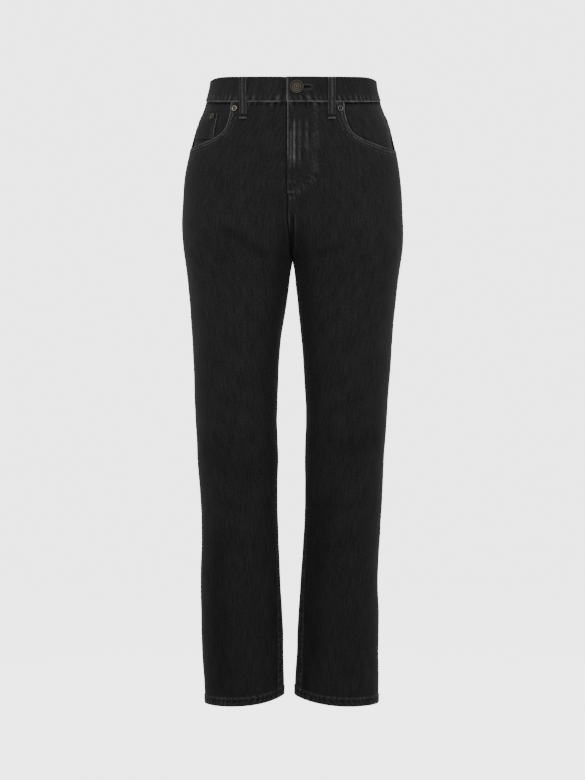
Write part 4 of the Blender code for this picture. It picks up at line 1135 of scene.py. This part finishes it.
def stitch_row(path, lift_normals, pitch=STITCH_PITCH, length=STITCH_LENGTH, radius=THREAD_RADIUS, slant=0.0):
    """Vertices and faces of separate stitches lying along a path of points, each sunk at its ends."""
    steps = np.linalg.norm(np.diff(path, axis=0), axis=1)
    run = np.concatenate(([0.0], np.cumsum(steps)))
    count = max(1, int(run[-1] / pitch))
    middles = (np.arange(count) + 0.5) * run[-1] / count
    centre = np.column_stack([np.interp(middles, run, path[:, k]) for k in range(3)])
    ahead = np.column_stack([np.interp(middles + length / 2, run, path[:, k]) for k in range(3)])
    behind = np.column_stack([np.interp(middles - length / 2, run, path[:, k]) for k in range(3)])
    normal = np.column_stack([np.interp(middles, run, lift_normals[:, k]) for k in range(3)])
    normal /= np.linalg.norm(normal, axis=1, keepdims=True)
    along = ahead - behind
    along /= np.linalg.norm(along, axis=1, keepdims=True) + 1e-12
    side = np.cross(along, normal)
    along = along + side * slant
    along /= np.linalg.norm(along, axis=1, keepdims=True)
    sides = 6
    turn = np.arange(sides) * 2 * np.pi / sides
    verts = []
    for share, size in ((-0.46, 0.55), (-0.22, 0.95), (0.22, 0.95), (0.46, 0.55)):
        arch = radius * (0.75 - 2.6 * share * share)
        middle = centre + along * (share * length) + normal * arch
        for angle in turn:
            verts.append(middle + (side * np.cos(angle) + normal * np.sin(angle) * 0.8) * radius * size)
    verts = np.stack(verts, axis=1)
    faces = []
    for ring in range(0, 3 * sides, sides):
        for k in range(sides):
            after = (k + 1) % sides
            faces.append((ring + k, ring + after, ring + sides + after, ring + sides + k))
    caps = [tuple(range(sides))[::-1], tuple(range(3 * sides, 4 * sides))]
    return verts, faces, caps


def sew(name, rows, material):
    """One object from many rows of stitches, each row a (path, normals, options) triple."""
    points, polygons, offset = [], [], 0
    for path, normals, options in rows:
        verts, faces, caps = stitch_row(path, normals, **options)
        for one in verts:
            points.append(one)
            polygons += [tuple(offset + v for v in face) for face in faces + caps]
            offset += len(one)
    mesh = bpy.data.meshes.new(name)
    mesh.from_pydata(np.concatenate(points).tolist(), [], polygons)
    mesh.validate()
    mesh.shade_smooth()
    return link_object(name, mesh, material)


def on_cloth(surface, arc, drop, lift=0.0, **options):
    """A row of stitches: its path on the cloth, its outward directions, and what differs in its stitches."""
    arc, drop = np.broadcast_arrays(np.asarray(arc, float), np.asarray(drop, float))
    return surface.at(arc, drop, lift), surface.sample(surface.normals, arc, drop), options


def offset_curve(curve, distance):
    """The polyline moved sideways in the flat cloth, to its left for a positive distance."""
    run = np.gradient(curve, axis=0)
    run /= np.linalg.norm(run, axis=1, keepdims=True)
    return curve + np.column_stack((run[:, 1], -run[:, 0])) * distance


def two_rows(first=ROW_INSET, second=ROW_INSET + ROW_SPACING):
    return (first, second)


def front_stitches(surface):
    """The pocket's two rows, the inseam's two rows, the hem's row, and on the left the fly's."""
    side, rows = surface.side, []
    drops = np.linspace(BAND_HEIGHT + 0.001, POCKET_OPENING[-1].drop, 70)
    curve = np.column_stack((pocket_curve(surface, drops), drops))
    for inset in two_rows():
        moved = offset_curve(curve, -inset)
        moved = moved[moved[:, 0] < -0.0015]
        rows.append(on_cloth(surface, moved[:, 0], moved[:, 1], 0.0003))
    legs = np.linspace(CROTCH + 0.004, HEM - 0.001, 260)
    for inset in two_rows():
        rows.append(on_cloth(surface, surface.front_edge(legs) + inset, legs, 0.0004))
    arcs = np.linspace(surface.front_edge(HEM) + 0.001, -0.001, 120)
    rows.append(on_cloth(surface, arcs, HEM - HEM_DEPTH + ROW_INSET, HEM_LIFT - 0.0001))
    if side == LEFT:
        line = fly_stitch()
        for inset in two_rows(0.0, 0.0055):
            moved = offset_curve(line, -inset)
            arc = surface.arc_at(moved[:, 0], moved[:, 1])
            lap = FLY_LIFT * (1 - ease(FLY_FLAT, 0.014, moved[:, 0]))
            rows.append(on_cloth(surface, arc, moved[:, 1], lap - 0.0001))
        fly = np.linspace(BAND_HEIGHT + 0.001, FLY_END, 60)
        edge = surface.arc_at(np.full(60, CENTRE_FRONT + ROW_INSET), fly)
        rows.append(on_cloth(surface, edge, fly, FLY_LIFT))
        rise = np.linspace(FLY_END + 0.004, CROTCH - 0.0015, 60)
        for inset in two_rows():
            rows.append(on_cloth(surface, surface.front_edge(rise) + inset, rise, 0.0003))
    return rows


def back_stitches(surface):
    """The rise's rows on the left, the hem's row and the back pocket's two rows."""
    rows = []
    arcs = np.linspace(0.001, surface.back_edge(HEM) - 0.001, 120)
    rows.append(on_cloth(surface, arcs, HEM - HEM_DEPTH + ROW_INSET, HEM_LIFT - 0.0001))
    if surface.side == LEFT:
        rise = np.linspace(BAND_HEIGHT + YOKE_AT_BACK + 0.002, CROTCH - 0.002, 90)
        for inset in two_rows():
            rows.append(on_cloth(surface, surface.back_edge(rise) - inset, rise, 0.0004))
    for inset in two_rows():
        corner = 1 - 2 * inset / PATCH_WIDTH
        low = 1 - inset / PATCH_SIDE
        across = np.concatenate((np.full(20, -corner), np.linspace(-corner, corner, 41), np.full(20, corner)))
        down = np.concatenate((np.linspace(0.02, low, 20), np.full(41, low), np.linspace(low, 0.02, 20)))
        arc, drop = patch_places(surface, across, down)
        rows.append(on_cloth(surface, arc, drop, PATCH_LIFT + 0.0012))
    for down in (0.016, 0.104):
        arc, drop = patch_places(surface, np.linspace(-0.98, 0.98, 40), down)
        rows.append(on_cloth(surface, arc, drop, PATCH_LIFT + 0.0017))
    return rows


def yoke_stitches(surface):
    share = np.linspace(0.01, 0.99, 60)
    foot = yoke_foot(share) - GAP / 2
    rows = []
    for inset in two_rows():
        drop = foot - inset
        arc = GAP / 2 + (surface.back_edge(drop) - GAP / 2) * share
        rows.append(on_cloth(surface, arc, drop, 0.0004))
    if surface.side == LEFT:
        rise = np.linspace(BAND_HEIGHT + 0.002, BAND_HEIGHT + YOKE_AT_BACK - 0.002, 30)
        for inset in two_rows():
            rows.append(on_cloth(surface, surface.back_edge(rise) - inset, rise, 0.0004))
    return rows


def band_stitches():
    """A row inside each long edge of the waistband, and down its lapped end."""
    rows = []
    for side in (LEFT, RIGHT):
        surface = SURFACES[side]
        for share in (ROW_INSET / BAND_HEIGHT, 1 - ROW_INSET / BAND_HEIGHT):
            arc, drop, lap = band_half(surface, [share])
            shown = slice(2, None) if side == LEFT else slice(24, None)
            lift = BAND_LIFT + lap[0, shown] - 0.0002
            rows.append(on_cloth(surface, arc[0, shown], drop[0, shown], lift))
    levels = np.linspace(0.002, BAND_HEIGHT - 0.002, 12)
    left = SURFACES[LEFT]
    arc = left.arc_at(np.full(12, CENTRE_FRONT - BAND_LAP + 0.0020), levels)
    rows.append(on_cloth(left, arc, levels, BAND_LIFT + BAND_LAP + GAP - 0.0001))
    return rows


def bar_tack(surface, arc, drop, run_arc, run_drop, lift, width=0.0016):
    """A dense bar of thread: many short stitches across a short line."""
    count = 14
    share = np.linspace(0, 1, count)
    dense = {"pitch": np.hypot(run_arc, run_drop) / count, "length": width, "radius": 0.00030, "slant": 12.0}
    return on_cloth(surface, arc + run_arc * share, drop + run_drop * share, lift, **dense)


def tacks():
    """Bar tacks on the loops, at the pockets' ends, on the coin pocket and at the fly's foot."""
    rows = []
    foot = BAND_HEIGHT + LOOP_BELOW_BAND
    for _, _, surface, centre_of in loop_list():
        for level, lift in ((foot - 0.0035, 0.0040), (LOOP_TOP + 0.0030, 0.0034)):
            centre = float(centre_of(level))
            rows.append(bar_tack(surface, centre - LOOP_WIDTH * 0.42, level, LOOP_WIDTH * 0.84, 0.0, lift))
    left = SURFACES[LEFT]
    arc = float(left.arc_at(CENTRE_FRONT + 0.0012, FLY_END - 0.002))
    rows.append(bar_tack(left, arc, FLY_END - 0.002, 0.0095, 0.0, FLY_LIFT + 0.0001, 0.0020))
    right = SURFACES[RIGHT]
    arc = float(right.arc_at(CENTRE_FRONT - COIN_TOP_FROM_CENTRE - 0.0015, COIN_TOP + 0.002))
    rows.append(bar_tack(right, arc, COIN_TOP + 0.0010, 0.0, 0.0070, COIN_LIFT))
    for side in (LEFT, RIGHT):
        surface = SURFACES[side]
        arc, drop = patch_places(surface, np.array([-0.97, 0.97]), np.array([0.02, 0.02]))
        for a, d in zip(arc, drop):
            rows.append(bar_tack(surface, float(a), float(d), 0.0, 0.0095, PATCH_LIFT + 0.0016))
        rows.append(bar_tack(surface, -0.0050, 0.1040, 0.0, 0.0080, 0.0004))
    return rows


def coin_stitches():
    surface, rows = SURFACES[RIGHT], []
    for inset in two_rows():
        drop = COIN_TOP + inset
        low = float(coin_edge(surface, drop))
        arcs = np.linspace(low + 0.0015, COIN_OUTER_ARC - 0.001, 20)
        rows.append(on_cloth(surface, arcs, drop, COIN_LIFT))
        levels = np.linspace(COIN_TOP + 0.002, 0.084, 20)
        rows.append(on_cloth(surface, coin_edge(surface, levels) + inset, levels, COIN_LIFT))
    return rows


def loop_stitches():
    rows = []
    for _, _, surface, centre_of in loop_list():
        levels = np.linspace(LOOP_TOP + 0.001, BAND_HEIGHT + LOOP_BELOW_BAND - 0.001, 24)
        centre = np.array([float(centre_of(level)) for level in levels])
        rest = loop_rest(levels)
        folded = ease(0.0545, 0.0565, levels)
        thick = LOOP_CLOTH * (1.0 + 0.55 * folded)
        for way in (-1, 1):
            arc = centre + way * LOOP_WIDTH * 0.32
            rows.append(on_cloth(surface, arc, levels, rest + thick - 0.0003, pitch=0.0027, length=0.0021))
    return rows


def buttonhole_stitches():
    """Close stitches across the buttonhole's edge, all round it."""
    left = SURFACES[LEFT]
    start = float(left.arc_at(CENTRE_FRONT + BUTTON_FROM_CENTRE, BUTTON_DROP))
    half = BUTTONHOLE_WIDTH / 2 + 0.0010
    turn = np.linspace(-np.pi / 2, np.pi / 2, 16)
    end = BUTTONHOLE_LENGTH - BUTTONHOLE_WIDTH / 2
    arc = np.concatenate((np.linspace(0, end, 30), end + half * np.cos(turn), np.linspace(end, 0, 30)))
    drop = np.concatenate((np.full(30, -half), half * np.sin(turn), np.full(30, half)))
    close = {"pitch": 0.00062, "length": 0.0021, "radius": 0.00028, "slant": 12.0}
    return [on_cloth(left, start + arc, BUTTON_DROP + drop, BAND_LIFT + BAND_LAP + GAP, **close)]


def turned(name, profile):
    """A round piece spun from (radius, height) pairs about its own Z."""
    shape = bmesh.new()
    chain = [shape.verts.new((radius, 0.0, height)) for radius, height in profile]
    edges = [shape.edges.new(pair) for pair in zip(chain, chain[1:])]
    bmesh.ops.spin(
        shape,
        geom=chain + edges,
        cent=(0, 0, 0),
        axis=(0, 0, 1),
        angle=2 * np.pi,
        steps=ROUND_SEGMENTS,
        use_merge=False,
    )
    bmesh.ops.remove_doubles(shape, verts=shape.verts, dist=1e-6)
    bmesh.ops.recalc_face_normals(shape, faces=shape.faces)
    mesh = bpy.data.meshes.new(name)
    shape.to_mesh(mesh)
    shape.free()
    return mesh


def seated(mesh, surface, arc, drop, lift):
    """Moves a round piece's mesh so that it stands on the cloth, its own Z pointing out."""
    arc, drop = np.array([arc]), np.array([drop])
    place = surface.at(arc, drop, lift)[0]
    normal = Vector(surface.sample(surface.normals, arc, drop)[0])
    mesh.transform(Matrix.Translation(Vector(place)) @ normal.to_track_quat("Z", "Y").to_matrix().to_4x4())


def smooth_profile(points, steps=5):
    """More points between a profile's own, on a curve through them."""
    points = np.array(points)
    places = np.arange(len(points), dtype=float)
    fine = np.linspace(0, len(points) - 1, (len(points) - 1) * steps + 1)
    out = np.interp(fine, places, points[:, 0])
    return np.column_stack([out, smooth_through(places, points[:, 1], fine)])


def paint_ring_shade(mesh, radius, shade_rings):
    """Marks painted shade on a round piece: how dark it is at each distance out, from (share of the radius,
    width, darkness) rings.
    """
    places = np.zeros(len(mesh.vertices) * 3)
    mesh.vertices.foreach_get("co", places)
    out = np.hypot(*places.reshape(-1, 3)[:, :2].T) / radius
    shade = np.ones(len(out))
    for share, width, darkness in shade_rings:
        shade *= 1 - darkness * bump(out - share, width)
    set_field(mesh, "shade", shade)


def button(material):
    """A tack button: a raised rim, two raised rings with a sunk channel of beads between, and a low dome."""
    r = BUTTON_RADIUS
    face = [(share * r, height) for share, height in BUTTON_FACE]
    back_face = [(0.0, -BAND_CLOTH), (0.0014, -BAND_CLOTH), (0.0014, 0.0), face[0]]
    mesh = turned("button", back_face + smooth_profile(face)[1:].tolist())
    beads = bmesh.new()
    beads.from_mesh(mesh)
    for k in range(BEADS):
        turn = 2 * np.pi * k / BEADS
        place = Matrix.Translation((BEAD_RING * r * np.cos(turn), BEAD_RING * r * np.sin(turn), 0.0011))
        bmesh.ops.create_uvsphere(beads, u_segments=8, v_segments=6, radius=BEAD_RADIUS, matrix=place)
    beads.to_mesh(mesh)
    beads.free()
    # Painted shade: the button's colour is darkened in rings on the hollows of its face and round the foot of
    # its rim.
    paint_ring_shade(mesh, r, BUTTON_SHADE_RINGS)
    surface = SURFACES[LEFT]
    arc = float(surface.arc_at(CENTRE_FRONT + BUTTON_FROM_CENTRE, BUTTON_DROP))
    seated(mesh, surface, arc, BUTTON_DROP, BAND_LIFT + BAND_LAP + 2 * GAP)
    mesh.shade_smooth()
    return link_object("button", mesh, material, ("waist_button",))


def rivet(name, node, side, from_centre, drop, lift, material, slot):
    """A rivet: a rounded ring round a sunk middle, painted dark as shade, with the nail's small flattened
    tip.
    """
    face = [(share * RIVET_RADIUS, height) for share, height in RIVET_FACE]
    mesh = turned(name, [(0.0, 0.0)] + smooth_profile(face).tolist())
    # Painted shade: the rivet's colour is darkened in its sunk middle and round the foot of its rim.
    paint_ring_shade(mesh, RIVET_RADIUS, RIVET_SHADE_RINGS)
    surface = SURFACES[side]
    seated(mesh, surface, float(surface.arc_at(CENTRE_FRONT + side * from_centre, drop)), drop, lift)
    mesh.shade_smooth()
    return link_object(name, mesh, material, (node,))


def backdrop():
    """A round pale room: a level floor, a wall that it curves up into, and a dome. It lights nothing."""
    curve = np.linspace(0, np.pi / 2, 13)[1:]
    profile = [(0.0, FLOOR_Z), (ROOM_RADIUS - ROOM_CURVE, FLOOR_Z)]
    profile += [
        (ROOM_RADIUS - ROOM_CURVE * (1 - np.sin(t)), FLOOR_Z + ROOM_CURVE * (1 - np.cos(t))) for t in curve
    ]
    dome = np.concatenate(([0.0], curve))
    profile += [(ROOM_RADIUS * np.cos(t), WALL_TOP + ROOM_RADIUS * np.sin(t)) for t in dome]
    mesh = turned("room", profile)
    mesh.flip_normals()
    mesh.shade_smooth()
    paint, _, _ = principled(
        "room_paint",
        Base_Color=(0.80, 0.80, 0.80, 1.0),
        Roughness=1.0,
        Specular_IOR_Level=0.0,
        Emission_Color=(1.0, 1.0, 1.0, 1.0),
        Emission_Strength=ROOM_GLOW,
    )
    mesh.materials.append(paint)
    item = in_scene("room", mesh)
    item.visible_diffuse = False
    item.visible_glossy = False
    item.visible_shadow = False


def area_light(lamp):
    data = bpy.data.lights.new(lamp.name, "AREA")
    data.shape = "RECTANGLE"
    data.size, data.size_y = lamp.size
    data.energy = lamp.power
    item = in_scene(lamp.name, data)
    item.location = lamp.place
    towards = Vector((0.0, 0.0, lamp.aim)) - Vector(lamp.place)
    item.rotation_euler = towards.to_track_quat("-Z", "Y").to_euler()


def lights():
    world = bpy.data.worlds.new("studio")
    bpy.context.scene.world = world
    world.use_nodes = True
    sky = world.node_tree.nodes["Background"]
    sky.inputs["Color"].default_value = (1.0, 1.0, 1.0, 1.0)
    sky.inputs["Strength"].default_value = SKY_STRENGTH
    for lamp in LAMPS:
        area_light(lamp)


def camera():
    data = bpy.data.cameras.new("camera")
    data.sensor_width = 36.0
    data.lens = CAMERA_LENS
    item = in_scene("camera", data)
    item.location = CAMERA_AT
    item.rotation_euler = (np.pi / 2, 0.0, 0.0)
    bpy.context.scene.camera = item


# A record for a kind of piece's flat cut: width and length in metres, and the area of the cloth in it. No
# cuts are listed.
Cut = namedtuple("Cut", "width length area")


def main():
    camera()
    lights()
    backdrop()
    black = denim("denim_black", LEG_TONES)
    inner_black = denim("denim_pocket_black", POCKET_TONES)
    band_black = denim("denim_band_black", BAND_TONES, -1.0)
    sewing = thread("thread_black", THREAD_TONE)
    for side in (LEFT, RIGHT):
        surface, word = SURFACES[side], SIDES[side]
        front(surface, black)
        back(surface, black)
        yoke(surface, black)
        facing(surface, inner_black)
        back_patch(surface, black)
        sew(f"{word}_front_stitches", front_stitches(surface), sewing)
        sew(f"{word}_back_stitches", back_stitches(surface), sewing)
        sew(f"{word}_yoke_stitches", yoke_stitches(surface), sewing)
    coin_patch(inner_black)
    waistband(band_black)
    for loop in loop_list():
        loop_piece(*loop, band_black, "denim_loop")
    sew("band_stitches", band_stitches(), sewing)
    sew("coin_patch_stitches", coin_stitches(), sewing)
    sew("loop_stitches", loop_stitches(), sewing)
    sew("bar_tacks", tacks(), sewing)
    sew("buttonhole_stitches", buttonhole_stitches(), sewing)
    button(aged_metal("bronze", BRONZE, 0.42))
    copper, dark, brass = (
        aged_metal("copper", COPPER, 0.32),
        aged_metal("gunmetal", GUNMETAL, 0.38),
        aged_metal("aged_brass", AGED_BRASS, 0.45),
    )
    rivet("right_rivet", "rivet_right", RIGHT, RIVET_FROM_CENTRE, RIVET_DROP, 0.0007, copper, "rivet_copper")
    rivet("left_rivet", "rivet_left", LEFT, RIVET_FROM_CENTRE, RIVET_DROP, 0.0007, dark, "rivet_dark")
    place = (RIGHT, COIN_RIVET_FROM_CENTRE, COIN_RIVET_DROP, COIN_LIFT + GAP)
    rivet("coin_rivet", "rivet_coin_pocket", *place, brass, "rivet_brass")


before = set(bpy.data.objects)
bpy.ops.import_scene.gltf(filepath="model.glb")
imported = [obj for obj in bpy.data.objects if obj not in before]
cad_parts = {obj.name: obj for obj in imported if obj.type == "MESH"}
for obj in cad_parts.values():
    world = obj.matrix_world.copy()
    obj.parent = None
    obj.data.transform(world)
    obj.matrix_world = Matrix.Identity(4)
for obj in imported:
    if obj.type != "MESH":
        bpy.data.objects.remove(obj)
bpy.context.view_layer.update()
SURFACES = {side: Surface(side) for side in (LEFT, RIGHT)}
main()
